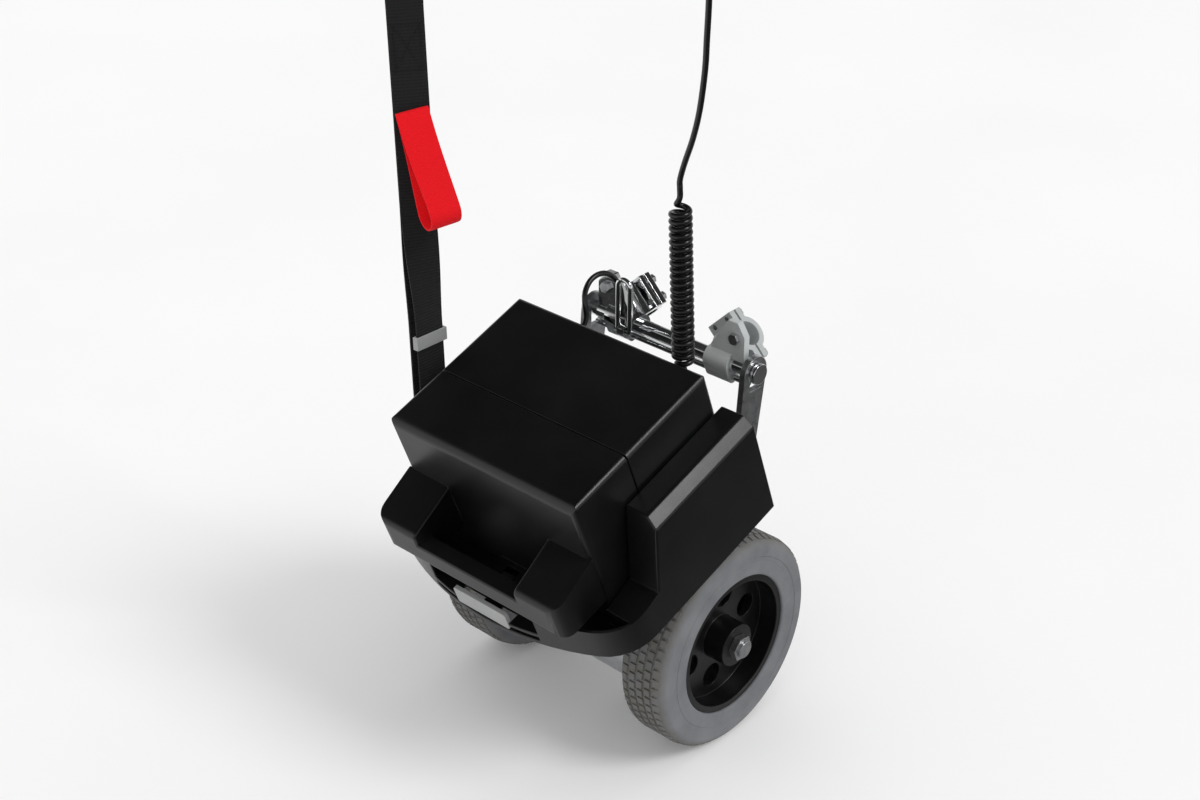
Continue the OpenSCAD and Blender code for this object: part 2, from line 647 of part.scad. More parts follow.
module battery_blocks() {
    color([0.16, 0.2, 0.32]) unit_frame() difference() {
        box([-half_w + wall + block_gap, -body_back + wall + block_gap, battery_foot + base_t],
            [half_w - wall - block_gap, -battery_front - wall - block_gap, body_top_v - block_top]);
        box([-dock_half[0] - dock_gap, -dock_u - dock_half[1] - dock_gap, battery_foot],
            [dock_half[0] + dock_gap, -dock_u + dock_half[1] + dock_gap, pocket_top]);
    }
}
module battery_contacts() {
    color(brass) unit_frame() for (x = [-blade_x, blade_x]) difference() {
        box([x - socket_half[0], -dock_u - socket_half[1], deck_top + dock_h + socket_lift],
            [x + socket_half[0], -dock_u + socket_half[1], pocket_top]);
        box([x - blade_half[0] - fit, -dock_u - blade_half[1] - fit, deck_top],
            [x + blade_half[0] + fit, -dock_u + blade_half[1] + fit, deck_top + dock_h + blade_h + fit]);
    }
}
module dock_connector() {
    color(dark) unit_frame() {
        box([-dock_half[0], -dock_u - dock_half[1], deck_top],
            [dock_half[0], -dock_u + dock_half[1], deck_top + dock_h]);
        for (x = [-blade_x, blade_x]) box([x - blade_half[0], -dock_u - blade_half[1], deck_top],
            [x + blade_half[0], -dock_u + blade_half[1], deck_top + dock_h + blade_h]);
    }
}

// Latch: push plate with stem and hook, its guide, and its spring
plate_top = window_foot + fit + plate_h;
stem_drop = 1.5;          // latch guide's floor below the window
stem_foot = window_foot - stem_drop;
stem_t = 4.5;
stem_low = stem_foot + 2 * fit + wall / 2;   // underside of the stem
guide_t = 3;
guide_gap = 3.5;          // guide ahead of the room for the pushed plate
guide_back = notch_u - guide_gap;
guide_wall = 4;
spring_r = 2.4;
spring_wire = 0.8;
spring_turns = 6;
spring_lead = 1;          // straight end of the spring wire
plate_r = 3;
module latch_plate() {
    color(pale_grey) unit_frame() {
        along_y(-plate_face, plate_t - plate_face) polygon(soft_points([-plate_w / 2, window_foot + fit],
            [plate_w / 2, plate_top], [plate_r, plate_r, plate_r, plate_r]));
        box([-stem_half, plate_t / 2 - plate_face, stem_low],
            [stem_half, -stem_front, stem_low + stem_t / 2]);
        box([-hook_half, -hook_back, stem_low], [hook_half, -hook_back + hook_t, battery_foot + strike_t]);
    }
}
module latch_guide() {
    color(dark) unit_frame() difference() {
        box([-stem_half - fit - guide_t, -guide_back, stem_foot - guide_t + fit],
            [stem_half + fit + guide_t, -guide_front, deck_foot_v]);
        box([-stem_half - fit, -guide_back - over, stem_foot + fit],
            [stem_half + fit, -guide_front - guide_wall, deck_foot_v + over]);
    }
}
spring_mid = stem_foot + 2 * fit + spring_r + spring_wire / 2;
spring_u0 = -stem_front + slip;
spring_u1 = -guide_front - guide_wall - slip;
function spring_path() = let (n = 8 * spring_turns, run = spring_u1 - spring_u0 - 2 * spring_lead) concat(
    [[0, spring_u0, spring_mid]],
    [for (i = [0:n]) let (a = 45 * i, grow = ease(i / 8) * ease((n - i) / 8))
        [spring_r * grow * cos(a), spring_u0 + spring_lead + run * i / n,
         spring_mid + spring_r * grow * sin(a)]],
    [[0, spring_u1, spring_mid]]);
function spring_sides() = let (n = 8 * spring_turns) concat([[1, 0, 0]],
    [for (i = [0:n]) [cos(45 * i), 0, sin(45 * i)]], [[1, 0, 0]]);
module latch_spring() {
    color(zinc) unit_frame() swept_tube(spring_path(), spring_sides(), spring_wire / 2, 6);
}

// Controller on the deck under the cover
controller_gap = [23, 14, 12];   // from the cover's left, rear and front
controller_in = 12;       // right side of the controller, left of the middle
controller_lo = [controller_gap[0] - half_w, controller_gap[1] - seam_back];
controller_hi = [-controller_in, cover_front - controller_gap[2]];
controller_h = 46;
fin_count = 8;
fin_t = 3;
fin_h = 14;
module controller_box() {
    pitch = (controller_hi[1] - controller_lo[1] - fin_t) / (fin_count - 1);
    color(alloy) unit_frame() {
        box([controller_lo[0], controller_lo[1], deck_top],
            [controller_hi[0], controller_hi[1], deck_top + controller_h]);
        for (i = [0:fin_count - 1]) box([controller_lo[0], controller_lo[1] + i * pitch, deck_top],
            [controller_hi[0], controller_lo[1] + i * pitch + fin_t, deck_top + controller_h + fin_h]);
    }
}

// Drive: motor, pinion, axle gear and the two-part gear case
pitch_g = gear_teeth * gear_module / 2;
pitch_p = pinion_teeth * gear_module / 2;
centre_d = pitch_g + pitch_p;
pinion_a = 65;            // direction of the pinion from the axle
pin_u = centre_d * cos(pinion_a);
pin_v = centre_d * sin(pinion_a);
case_l = 66;              // length of the gear case
case_x0 = case_x1 - case_l;
case_mid = case_x1 - case_l / 2;
case_wall = 6;
room_gap = 4;             // room round the teeth of a gear
pin_room = pitch_p + gear_module + room_gap;
gear_room = pitch_g + gear_module + room_gap;
pin_case = pin_room + case_wall;
case_out = gear_room + case_r;
pedestal_half = 40;
pedestal_foot = 50;
bearing_r = 16;
bearing_clear = 1;
case_screw_d = 4;
case_screw_head = 7;
case_screw_head_h = 3;
case_screw_ring = gear_room + case_r / 2;
case_screw_angle = 150;   // direction of the first case screw
case_screw_turn = 40;     // angle from each case screw to the next
case_screw_count = 6;
case_screw_l = 50;
case_screw_slot = 1;
motor_r = motor_d / 2;
hanger_x0 = -case_x1;
hanger_x1 = hanger_x0 + case_wall;
motor_gap = 4;            // motor clear of the axle hanger
motor_x0 = hanger_x1 + motor_gap;
motor_cap = 14;           // length of the motor's end cap
gearhead_l = 22;
gearhead_x = case_x0 - gearhead_l;
shaft_r = 5;
shaft_in_share = 1 / 3;   // start of the shaft along the motor can
shaft_x0 = motor_x0 + motor_cap + (gearhead_x - motor_x0 - motor_cap) * shaft_in_share;
shaft_short = 22;         // shaft and gear inside the case's outer face
shaft_x1 = case_x1 - shaft_short;
gear_in = 39;
gear_x0 = case_x1 - gear_in;
pinion_over = 1;          // pinion wider than the gear, each side
backlash = 0.12;          // thinning of each tooth flank
pressure = 20;
addendum_share = 0.95;
dedendum_share = 1.2;
flank_steps = 4;
axle_r = axle_d / 2;
function involute(a) = tan(a) * 180 / PI - a;
function half_tooth(z, m, r) =
    let (pitch = z * m / 2, base = pitch * cos(pressure))
    90 / z + involute(pressure) - involute(acos(min(1, base / max(r, base)))) - backlash / pitch * 180 / PI;
function tooth_points(z, m, turn) =
    let (pitch = z * m / 2, base = pitch * cos(pressure), root = pitch - dedendum_share * m,
         tip = pitch + addendum_share * m, low = max(base, root))
    [for (i = [0:z - 1]) let (mid = turn + 360 * i / z) each concat(
        [let (a = mid - half_tooth(z, m, low)) root * [cos(a), sin(a)]],
        [for (k = [0:flank_steps])
            let (r = low + (tip - low) * k / flank_steps, a = mid - half_tooth(z, m, r))
            r * [cos(a), sin(a)]],
        [for (k = [flank_steps:-1:0])
            let (r = low + (tip - low) * k / flank_steps, a = mid + half_tooth(z, m, r))
            r * [cos(a), sin(a)]],
        [let (a = mid + half_tooth(z, m, low)) root * [cos(a), sin(a)]])];
module case_outline() {
    circle(r = case_out);
    link([0, 0], case_out * cos(pressure), [pin_u, pin_v], pin_case);
    polygon([[-pedestal_half, pedestal_foot - pin_case], [pedestal_half, pedestal_foot - pin_case],
             [pedestal_half, plate_foot], [-pedestal_half, plate_foot]]);
}
module case_screw_places() {
    for (i = [0:case_screw_count - 1]) rotate([case_screw_angle + case_screw_turn * i, 0, 0])
        translate([0, case_screw_ring, 0]) children();
}
module case_half(x0, x1, room0, room1) {
    unit_frame() difference() {
        along_x(x0, x1) case_outline();
        along_x(room0, room1) {
            circle(r = gear_room);
            translate([pin_u, pin_v]) circle(r = pin_room);
        }
        round_x(bearing_r + seat, x0 - over, x1 + over);
        case_screw_places() round_x(case_screw_d / 2 + seat, case_x1 - case_screw_l - over, case_x1 + over);
        if (x0 == case_x0) translate([0, pin_u, pin_v]) round_x(pin_room, x0 - over, x1);
    }
}
module gear_case_left() { color(alloy) case_half(case_x0, case_mid, case_x0 + case_wall, case_mid + over); }
module gear_case_right() { color(alloy) case_half(case_mid, case_x1, case_mid - over, case_x1 - case_wall); }
module case_screws() {
    color(zinc) unit_frame() case_screw_places() translate([case_x1, 0, 0]) rotate([0, 90, 0])
        pan_screw(case_screw_d, case_screw_l, case_screw_head, case_screw_head_h, case_screw_slot);
}
module motor_can() {
    color(dark) unit_frame() translate([0, pin_u, pin_v]) difference() {
        round_x(motor_r, motor_x0 + motor_cap, gearhead_x);
        round_x(shaft_r + slip, shaft_x0 - fit, gearhead_x + over);
    }
}
cap_lip = 1;              // end cap smaller than the can
boss_r = 14;
boss_h = 2;
module motor_end_cap() {
    color(black) unit_frame() translate([0, pin_u, pin_v]) {
        round_x(motor_r - cap_lip, motor_x0 + boss_h, motor_x0 + motor_cap);
        round_x(boss_r, motor_x0, motor_x0 + motor_cap);
    }
}
module motor_gearhead() {
    color(alloy) unit_frame() translate([0, pin_u, pin_v]) difference() {
        round_x(motor_r - cap_lip, gearhead_x, case_x0);
        round_x(shaft_r + slip, gearhead_x - over, case_x0 + over);
    }
}
module pinion_shaft() {
    color(zinc) unit_frame() translate([0, pin_u, pin_v]) {
        round_x(shaft_r, shaft_x0, shaft_x1);
        along_x(gear_x0 - pinion_over, gear_x0 + gear_w + pinion_over)
            polygon(tooth_points(pinion_teeth, gear_module, pinion_a + 180 + 180 / pinion_teeth));
    }
}
gear_rim = 10;            // rim of the axle gear inside its pitch circle
gear_web_r = pitch_g - gear_rim;
gear_web_t = 3;
gear_boss_r = 18;
module axle_gear() {
    color(zinc) unit_frame() difference() {
        along_x(gear_x0, gear_x0 + gear_w) polygon(tooth_points(gear_teeth, gear_module, pinion_a));
        for (x = [gear_x0 - over, gear_x0 + gear_w - gear_web_t]) difference() {
            round_x(gear_web_r, x, x + gear_web_t + over);
            round_x(gear_boss_r, x - over, x + gear_web_t + 2 * over);
        }
        round_x(axle_r + seat, gear_x0 - over, gear_x0 + gear_w + over);
    }
}
hanger_r = 26;
hanger_half = 34;
module axle_bearings() {
    color(zinc) unit_frame() for (x = [hanger_x0, case_x0, case_x1 - case_wall]) difference() {
        round_x(bearing_r, x, x + case_wall);
        round_x(axle_r + slip, x - over, x + case_wall + over);
    }
}
module axle_hanger() {
    color(alloy) unit_frame() difference() {
        along_x(hanger_x0, hanger_x1) polygon(concat(arc_points([0, 0], hanger_r, 180, 360, link_steps),
            [[hanger_half, plate_foot], [-hanger_half, plate_foot]]));
        round_x(bearing_r + seat, hanger_x0 - over, hanger_x1 + over);
    }
}

// Wheels on one axle
hub_in = 2.5;             // hub boss inside the tyre's inner face
hub_out = 1;              // hub boss beyond the tyre's outer face
hub_r = 20;
rim_t = 6;
web_t = 8;
rim_inset = 2;            // rim narrower than the tyre, each side
hole_count = 6;
hole_share = 0.275;       // radius of a hole, as a share of the web's width
web_w = rim_d / 2 - rim_t - hub_r;
hole_r = web_w * hole_share;
hole_ring = hub_r + web_w / 2;
tyre_round = 8;
nut_w = 24;
nut_h = 7;
washer_gap = 0.1;
axle_over = 2.9;          // axle beyond its nuts
axle_end = wheel_x + tyre_w / 2 + hub_out + washer_gap + nut_h + axle_over;
module hub(side) {
    rim_r = rim_d / 2;
    color(black) unit_frame() translate([side * wheel_x, 0, 0]) difference() {
        union() {
            difference() {
                round_x(rim_r, rim_inset - tyre_w / 2, tyre_w / 2 - rim_inset);
                round_x(rim_r - rim_t, -tyre_w, -web_t / 2);
                round_x(rim_r - rim_t, web_t / 2, tyre_w);
            }
            round_x(hub_r, side > 0 ? -tyre_w / 2 - hub_in : -tyre_w / 2 - hub_out,
                    side > 0 ? tyre_w / 2 + hub_out : tyre_w / 2 + hub_in);
        }
        round_x(axle_r + seat, -tyre_w, tyre_w);
        for (i = [0:hole_count - 1]) rotate([360 * i / hole_count, 0, 0]) translate([0, hole_ring, 0])
            round_x(hole_r, -tyre_w, tyre_w);
    }
}
module tyre(side) {
    color(tyre_grey) unit_frame() translate([side * wheel_x, 0, 0]) rotate([0, 90, 0])
        rotate_extrude($fn = 96) polygon(soft_points([rim_d / 2 + seat, -tyre_w / 2], [wheel_r, tyre_w / 2],
            [rim_inset, tyre_round, tyre_round, rim_inset]));
}
module left_hub() { hub(-1); }
module right_hub() { hub(1); }
module left_tyre() { tyre(-1); }
module right_tyre() { tyre(1); }
module axle_shaft() { color(zinc) unit_frame() round_x(axle_r, -axle_end, axle_end); }
module axle_nuts() {
    x0 = wheel_x + tyre_w / 2 + hub_out + washer_gap;
    color(zinc) unit_frame() mirrored() difference() {
        translate([x0, 0, 0]) rotate([0, 90, 0]) cylinder(d = nut_w, h = nut_h, $fn = 6);
        round_x(axle_r + seat, x0 - over, x0 + nut_h + over);
    }
}

// Cord gland on the cover's front wall, with its nozzle upright
gland_x = 63;
gland_half = 9;           // half width of the gland block
gland_low = 63;           // foot of the gland block, below the flat top
gland_h = 18;
gland_v = [body_top_v - gland_low, body_top_v - gland_low + gland_h];
gland_out = 15;           // reach of the gland in front of the wall
gland_r = 4;
gland_top = unit_point([gland_x, cover_front + gland_out / 2, gland_v[1]]);
nozzle_r = 5.5;
nozzle_fwd = 1.923;       // nozzle ahead of the middle of the block's top
nozzle_in = 8.09;         // nozzle's foot inside the block
nozzle_out = 6.91;        // nozzle's mouth above the block
nozzle_y = gland_top[1] + nozzle_fwd;
nozzle_foot = gland_top[2] - nozzle_in;
nozzle_top = gland_top[2] + nozzle_out;
lead_r = lead_d / 2;
module cord_gland() {
    color(dark) {
        unit_frame() translate([gland_x, 0, 0]) along_z(gland_v[0], gland_v[1]) polygon(soft_points(
            [-gland_half, cover_front], [gland_half, cover_front + gland_out], [0, 0, gland_r, gland_r]));
        translate([gland_x, nozzle_y, 0]) round_z(nozzle_r, nozzle_foot, nozzle_top);
    }
}

// Curly lead: straight tails at both ends, curls that grow in and die out over one turn
curl_span = [-3, -7, 177];   // from the nozzle's mouth to the top of the curls
curl_foot = [gland_x, nozzle_y, nozzle_top];
curl_top = curl_foot + curl_span;
curl_tail = 6;            // straight length at each end
curl_turn_in = 12;        // height of the first and of the last turn
rings_per_curl = 8;
curl_mid_r = curl_d / 2 - lead_r;
curl_rings = rings_per_curl * curls;
curl_step = 360 / rings_per_curl;
curl_run = curl_top[2] - curl_foot[2] - 2 * curl_tail;
curl_pitch = (curl_run - 2 * curl_turn_in) / (curls - 2);
function curl_rise(i) = let (t = i / rings_per_curl)
    t < 1 ? curl_turn_in * t
    : t > curls - 1 ? curl_run - curl_turn_in * (curls - t)
    : curl_turn_in + curl_pitch * (t - 1);
function curl_axis(rise) = curl_foot + (curl_top - curl_foot) * rise / (curl_top[2] - curl_foot[2]);
function curl_path() = concat(
    [curl_foot, curl_foot + [0, 0, curl_tail / 2]],
    [for (i = [0:curl_rings]) let (a = curl_step * i,
        r = curl_mid_r * ease(i / rings_per_curl) * ease((curl_rings - i) / rings_per_curl))
        curl_axis(curl_tail + curl_rise(i)) + [r * cos(a), r * sin(a), 0]],
    [curl_top - [0, 0, curl_tail / 2], curl_top]);
function curl_sides() = concat([[1, 0, 0], [1, 0, 0]],
    [for (i = [0:curl_rings]) [cos(curl_step * i), sin(curl_step * i), 0]], [[1, 0, 0], [1, 0, 0]]);
echo(curl_self_gap = self_gap(curl_path(), rings_per_curl / 2, lead_d));
echo(spring_self_gap = self_gap(spring_path(), rings_per_curl / 2, spring_wire));
module cord_curl() { color(black) swept_tube(curl_path(), curl_sides(), lead_r, 6); }

// Smooth curve through hand-chosen points
function between(p, i, t) =
    let (a = p[max(i - 1, 0)], b = p[i], c = p[i + 1], d = p[min(i + 2, len(p) - 1)])
    0.5 * (2 * b + (c - a) * t + (2 * a - 5 * b + 4 * c - d) * t * t + (3 * b - a - 3 * c + d) * t * t * t);
function smooth(p, n) = concat(
    [for (i = [0:len(p) - 2], k = [0:n - 1]) between(p, i, k / n)], [p[len(p) - 1]]);
// The same curve, with its first and its last stretch straight
function straight_ends(p, n) = let (s = smooth(p, n), last = len(s) - 1)
    concat([s[0]], [for (i = [n:last - n]) s[i]], [s[last]]);

// Straight lead from the curls to the hand control
lead_steps = [[0, 0, 0], [0, 0, 7], [7, -3, 24], [18, -7, 48], [29, -13, 76], [38, -19, 111],
              [43, -24, 137], [48, -29, 165], [51, -33, 182], [51, -33, 192]];
lead_route = [for (p = lead_steps) curl_top + p];
lead_end = lead_route[len(lead_route) - 1];
module cord_lead() {
    path = straight_ends(lead_route, 2);
    color(black) swept_tube(path, same_side(path, [0, 1, 0]), lead_r, 8);
}

// Lock cable from the cover to the left clamp, and the clip it leaves from
clip_x = -55;
clip_low = 31;            // clip below the flat top
clip_v = body_top_v - clip_low;
clip_r = 6;
clip_h = 8;
cable_r = 2.5;
clip_end = unit_point([clip_x, cover_front + clip_h, clip_v]);
clip_tail = 5;            // straight start of the cable out of its clip
clip_way = unit_point([clip_x, cover_front + clip_h + clip_tail, clip_v]);
cable_in = 6;             // end of the cable inboard of the left clamp
cable_end = [cable_in - clamp_x, -7, 8];
cable_steps = [[-5, -51, 18], [-9, -43, 32], [-11, -29, 42], [-9, -13, 43], [-5, -1, 37], [-1, 0, 26],
               [0, 0, 14], [0, 0, 0]];
cable_route = concat([clip_end, clip_way], [for (p = cable_steps) cable_end + p]);
module cable_clip() {
    color(dark) unit_frame() translate([clip_x, 0, clip_v])
        round_y(clip_r, cover_front, cover_front + clip_h);
}
module lock_cable() {
    path = straight_ends(cable_route, 2);
    color(black) swept_tube(path, same_side(path, [1, 0, 0]), cable_r, 8);
}

// Strap anchor on the side of the left pod, with a level bar
anchor_t = 3;
anchor_bar_r = 3;
anchor_room = 1.5;        // between the strap and an ear
anchor_ear = strap_w / 2 + anchor_room;
anchor_ear_t = 3;
anchor_end = 4.5;         // base plate beyond the ears
anchor_half = [anchor_ear + anchor_ear_t + anchor_end, 9];   // half length and half height of the plate
anchor_ear_half = 5;
anchor_screw_d = 4;
anchor_screw_head = 7;
anchor_screw_head_h = 2.5;
anchor_screw_slot = 1;
anchor_screw_in = 4.5;    // screws inside the ears
anchor_screw_y = anchor_ear - anchor_screw_in;
strap_in = anchor_bar_r + slip + fit;
anchor_face = -tray_x;
anchor_fwd = 22;          // anchor ahead of the pod's rear top edge
anchor_low = 27.5;        // anchor below the pod's top
anchor_mid = unit_point([0, anchor_fwd - pod_ramp[2][0], pod_top_v - anchor_low]);
anchor_out = anchor_screw_head_h + fit + strap_t + strap_in;
anchor_at = [anchor_face - anchor_t - anchor_out, anchor_mid[1], anchor_mid[2]];
module strap_anchor() {
    x1 = anchor_face - anchor_at[0];
    color(zinc) translate(anchor_at) difference() {
        union() {
            along_x(x1 - anchor_t, x1) polygon(soft_points([-anchor_half[0], -anchor_half[1]], anchor_half,
                [anchor_t, anchor_t, anchor_t, anchor_t]));
            round_y(anchor_bar_r, -anchor_ear - anchor_ear_t, anchor_ear + anchor_ear_t);
            for (y = [-anchor_ear - anchor_ear_t, anchor_ear]) along_y(y, y + anchor_ear_t)
                link([0, 0], anchor_ear_half, [x1 - anchor_t, 0], anchor_t);
        }
        for (k = [-1, 1]) translate([0, k * anchor_screw_y, 0])
            round_x(anchor_screw_d / 2 + seat, x1 - 2 * anchor_t, x1 + over);
    }
}
module anchor_screws() {
    x1 = anchor_face - anchor_t - anchor_at[0];
    color(zinc) translate(anchor_at) for (k = [-1, 1]) translate([x1, k * anchor_screw_y, 0])
        rotate([0, -90, 0])
            pan_screw(anchor_screw_d, anchor_t - slip, anchor_screw_head, anchor_screw_head_h,
                      anchor_screw_slot);
}

// Lift strap: a long loop from the anchor's bar up to an eye for a frame tube
strap_d = [-15.65, 6, 400];   // from the anchor's bar to the eye
eye_r = 11.6;             // inside radius of the eye
strap_l = norm(strap_d);
strap_neck_share = 0.9;   // where the two runs part towards the eye
module strap_frame() {
    translate(anchor_at)
        rotate([-asin(strap_d[1] / strap_l), atan2(strap_d[0], strap_d[2]), 0]) children();
}
strap_steps = 12;         // straight steps in half a turn of the strap
module strap_outline(grow) {
    r = strap_in + grow;
    neck = strap_l * strap_neck_share;
    d = norm([r, strap_l - neck]);
    touch = atan2(neck - strap_l, r) + acos((eye_r + grow) / d);
    polygon(concat(arc_points([0, 0], r, 180, 360, strap_steps), [[r, neck]],
        arc_points([0, strap_l], eye_r + grow, touch, 180 - touch, strap_steps), [[-r, neck]]));
}
module lift_strap() {
    color(black) strap_frame() along_y(-strap_w / 2, strap_w / 2) difference() {
        strap_outline(strap_t);
        strap_outline(0);
    }
}
// Slider on the front run of the strap
slider_at = 60;           // up the strap from the anchor's bar
slider_h = 12;
slider_wall = 1.6;
slider_side = 2;
module strap_slider() {
    x0 = strap_in;
    color(pale_grey) strap_frame() difference() {
        box([x0 - slider_wall, -strap_w / 2 - slider_side - fit, slider_at],
            [x0 + strap_t + 2 * fit + slider_wall, strap_w / 2 + slider_side + fit, slider_at + slider_h]);
        box([x0 - fit / 2, -strap_w / 2 - fit, slider_at - over],
            [x0 + strap_t + 2 * fit, strap_w / 2 + fit, slider_at + slider_h + over]);
    }
}
// Pull loop sewn to the strap
loop_up = 273;            // place of the stitched end, up the strap
loop_top_r = 1.2;         // inside radius at the stitched end
loop_low_r = 11;          // inside radius at the hanging end
loop_l = 84;              // between those two ends
loop_swing = 18;          // how far it stands off the strap, in degrees
loop_gap = 0.2;
module pull_loop() {
    top_x = strap_in + strap_t + fit + strap_t + loop_top_r + loop_gap;
    color(red) strap_frame() translate([top_x, 0, loop_up]) rotate([0, -loop_swing, 0])
        along_y(-loop_w / 2, loop_w / 2) difference() {
            link([0, 0], loop_top_r + strap_t, [0, -loop_l], loop_low_r + strap_t);
            link([0, 0], loop_top_r, [0, -loop_l], loop_low_r);
        }
}

// Hand control: two-part shell, clamp, throttle, dial and rocker
pad_split = -3;           // joint of the shells below the middle
pad_r = 8;
pad_edge = 4;
pad_wall = 2.5;
pad_clamp_l = 24;
pad_clamp_wall = 4.5;
pad_clamp_gap = 1.5;
pad_neck = 5;             // between the shell and the clamp ring
pad_ring_r = grip_tube_d / 2 + pad_clamp_wall;
pad_ring_x = pad_w / 2 + pad_neck + pad_ring_r;
pad_ear = 9;
pad_ear_t = 5;
pad_screw_d = 4;
pad_screw_head = 7;
pad_screw_head_h = 3;
pad_screw_slot = 1;
pad_boss_r = 4.5;
dial_h = 9;
dial_post = 3;
dial_lift = 0.4;
throttle_in = 9;          // throttle's post inside the end of the shell
throttle_at = [-6, throttle_in - pad_l / 2];
throttle_r = 8;
throttle_post = 3.5;
throttle_h = 6;
throttle_l = 34;
throttle_tip = 5;
throttle_a = -20;
rocker_in = 10;           // rocker's middle inside the end of the shell
rocker_y = pad_l / 2 - rocker_in;
rocker_half = [6, 9];
dial_gap = 4;             // dial short of the rocker
dial_r = rocker_y - rocker_half[1] - dial_gap;
rocker_up = 3;
rocker_deep = 4;
rocker_room = 3;          // room under the rocker
rocker_pin = 1.2;
pad_gland_r = 5;
pad_gland_foot = 13;      // gland's foot below the shell
pad_in = [1, -1];         // middle of the shell from the end of the lead
pad_at = lead_end + [pad_in[0], pad_in[1], pad_gland_foot + pad_h / 2];
pad_top_z = pad_h / 2;
module pad_frame() { translate(pad_at) children(); }
module pad_block(t) {
    soft_block([t - pad_w / 2, t - pad_l / 2, t - pad_h / 2], [pad_w / 2 - t, pad_l / 2 - t, pad_h / 2 - t],
               [pad_r, pad_r, pad_r, pad_r] - t * [1, 1, 1, 1], [pad_edge, pad_edge, pad_edge, pad_edge],
               [pad_edge, pad_edge, pad_edge, pad_edge]);
}
module pad_bosses(z0, z1) {
    for (x = [-1, 1], y = [-1, 1]) translate([x * (pad_w / 2 - pad_wall - pad_boss_r / 2),
        y * (pad_l / 2 - pad_wall - pad_boss_r), 0]) round_z(pad_boss_r, z0, z1);
}
module pad_holes(z0, z1, r) {
    for (x = [-1, 1], y = [-1, 1]) translate([x * (pad_w / 2 - pad_wall - pad_boss_r / 2),
        y * (pad_l / 2 - pad_wall - pad_boss_r), 0]) round_z(r, z0, z1);
}
module pad_shell() {
    color(black) pad_frame() {
        difference() {
            intersection() {
                union() {
                    difference() { pad_block(0); pad_block(pad_wall); }
                    intersection() { pad_block(0); pad_bosses(pad_split, pad_h / 2); }
                    box([-rocker_half[0] - pad_wall, rocker_y - rocker_half[1] - pad_wall,
                         pad_top_z - rocker_deep - rocker_room - pad_wall],
                        [rocker_half[0] + pad_wall, rocker_y + rocker_half[1] + fit,
                         pad_top_z - pad_wall / 2]);
                }
                box([-pad_w, -pad_l, pad_split], [pad_w, pad_l, pad_h]);
            }
            box([-rocker_half[0] - fit, rocker_y - rocker_half[1] - fit,
                 pad_top_z - rocker_deep - rocker_room],
                [rocker_half[0] + fit, rocker_y + rocker_half[1] - fit / 2, pad_top_z + over]);
            translate([0, rocker_y, pad_top_z - rocker_deep / 2])
                round_x(rocker_pin + slip, -rocker_half[0] - pad_wall / 2, rocker_half[0] + pad_wall / 2);
            pad_holes(pad_split - over, pad_top_z - pad_wall, pad_screw_d / 2 + seat);
        }
        round_z(dial_post, pad_top_z - pad_wall / 2, pad_top_z + dial_h - over);
        translate([throttle_at[0], throttle_at[1], 0])
            round_z(throttle_post, pad_top_z - pad_wall / 2, pad_top_z + throttle_h);
    }
}
module pad_base() {
    color(black) pad_frame() difference() {
        intersection() {
            union() {
                difference() { pad_block(0); pad_block(pad_wall); }
                intersection() { pad_block(0); pad_bosses(-pad_h / 2, pad_split); }
            }
            box([-pad_w, -pad_l, -pad_h], [pad_w, pad_l, pad_split]);
        }
        pad_holes(-pad_h, pad_split + over, pad_screw_d / 2 + seat);
    }
}
module pad_screws() {
    color(zinc) pad_frame() {
        for (x = [-1, 1], y = [-1, 1]) translate([x * (pad_w / 2 - pad_wall - pad_boss_r / 2),
            y * (pad_l / 2 - pad_wall - pad_boss_r), -pad_h / 2]) rotate([180, 0, 0])
                pan_screw(pad_screw_d, pad_h - 2 * pad_wall, pad_screw_head, pad_screw_head_h,
                          pad_screw_slot);
        for (z = [-1, 1])
            translate([pad_ring_x + pad_clamp_gap / 2 + pad_ear_t, 0, z * (pad_ring_r + pad_ear / 2)])
                rotate([0, 90, 0]) pan_screw(pad_screw_d, pad_clamp_gap + 2 * pad_ear_t, pad_screw_head,
                                             pad_screw_head_h, pad_screw_slot);
    }
}
module pad_ring_half(x0, x1, ear0) {
    difference() {
        union() {
            intersection() {
                translate([pad_ring_x, 0, 0]) round_y(pad_ring_r, -pad_clamp_l / 2, pad_clamp_l / 2);
                box([x0, -pad_l, -pad_w], [x1, pad_l, pad_w]);
            }
            box([ear0, -pad_clamp_l / 2, -pad_ring_r - pad_ear],
                [ear0 + pad_ear_t, pad_clamp_l / 2, pad_ring_r + pad_ear]);
            children();
        }
        translate([pad_ring_x, 0, 0]) round_y(grip_tube_d / 2, -pad_l, pad_l);
        for (z = [-1, 1]) translate([pad_ring_x, 0, z * (pad_ring_r + pad_ear / 2)])
            round_x(pad_screw_d / 2 + seat, -pad_ring_r, pad_ring_r);
    }
}
module pad_clamp() {
    x1 = pad_ring_x - pad_clamp_gap / 2;
    color(black) pad_frame() pad_ring_half(pad_w / 2, x1, x1 - pad_ear_t)
        box([pad_w / 2, -pad_clamp_l / 2, -pad_h / 2 + pad_edge],
            [pad_ring_x - pad_ear_t, pad_clamp_l / 2, pad_h / 2 - pad_edge]);
}
module pad_clamp_cap() {
    x0 = pad_ring_x + pad_clamp_gap / 2;
    color(black) pad_frame() pad_ring_half(x0, x0 + 2 * pad_ring_r, x0);
}
module pad_gland() {
    color(dark) translate(lead_end) round_z(pad_gland_r, 0, pad_gland_foot);
}
module throttle_lever() {
    z0 = pad_top_z + dial_lift;
    color(dark) pad_frame() translate([throttle_at[0], throttle_at[1], 0]) difference() {
        along_z(z0, z0 + throttle_h) {
            circle(r = throttle_r);
            link([0, 0], throttle_r - over, throttle_l * [cos(throttle_a), sin(throttle_a)], throttle_tip);
        }
        round_z(throttle_post + slip, 0, pad_h);
    }
}
ridge_count = 18;
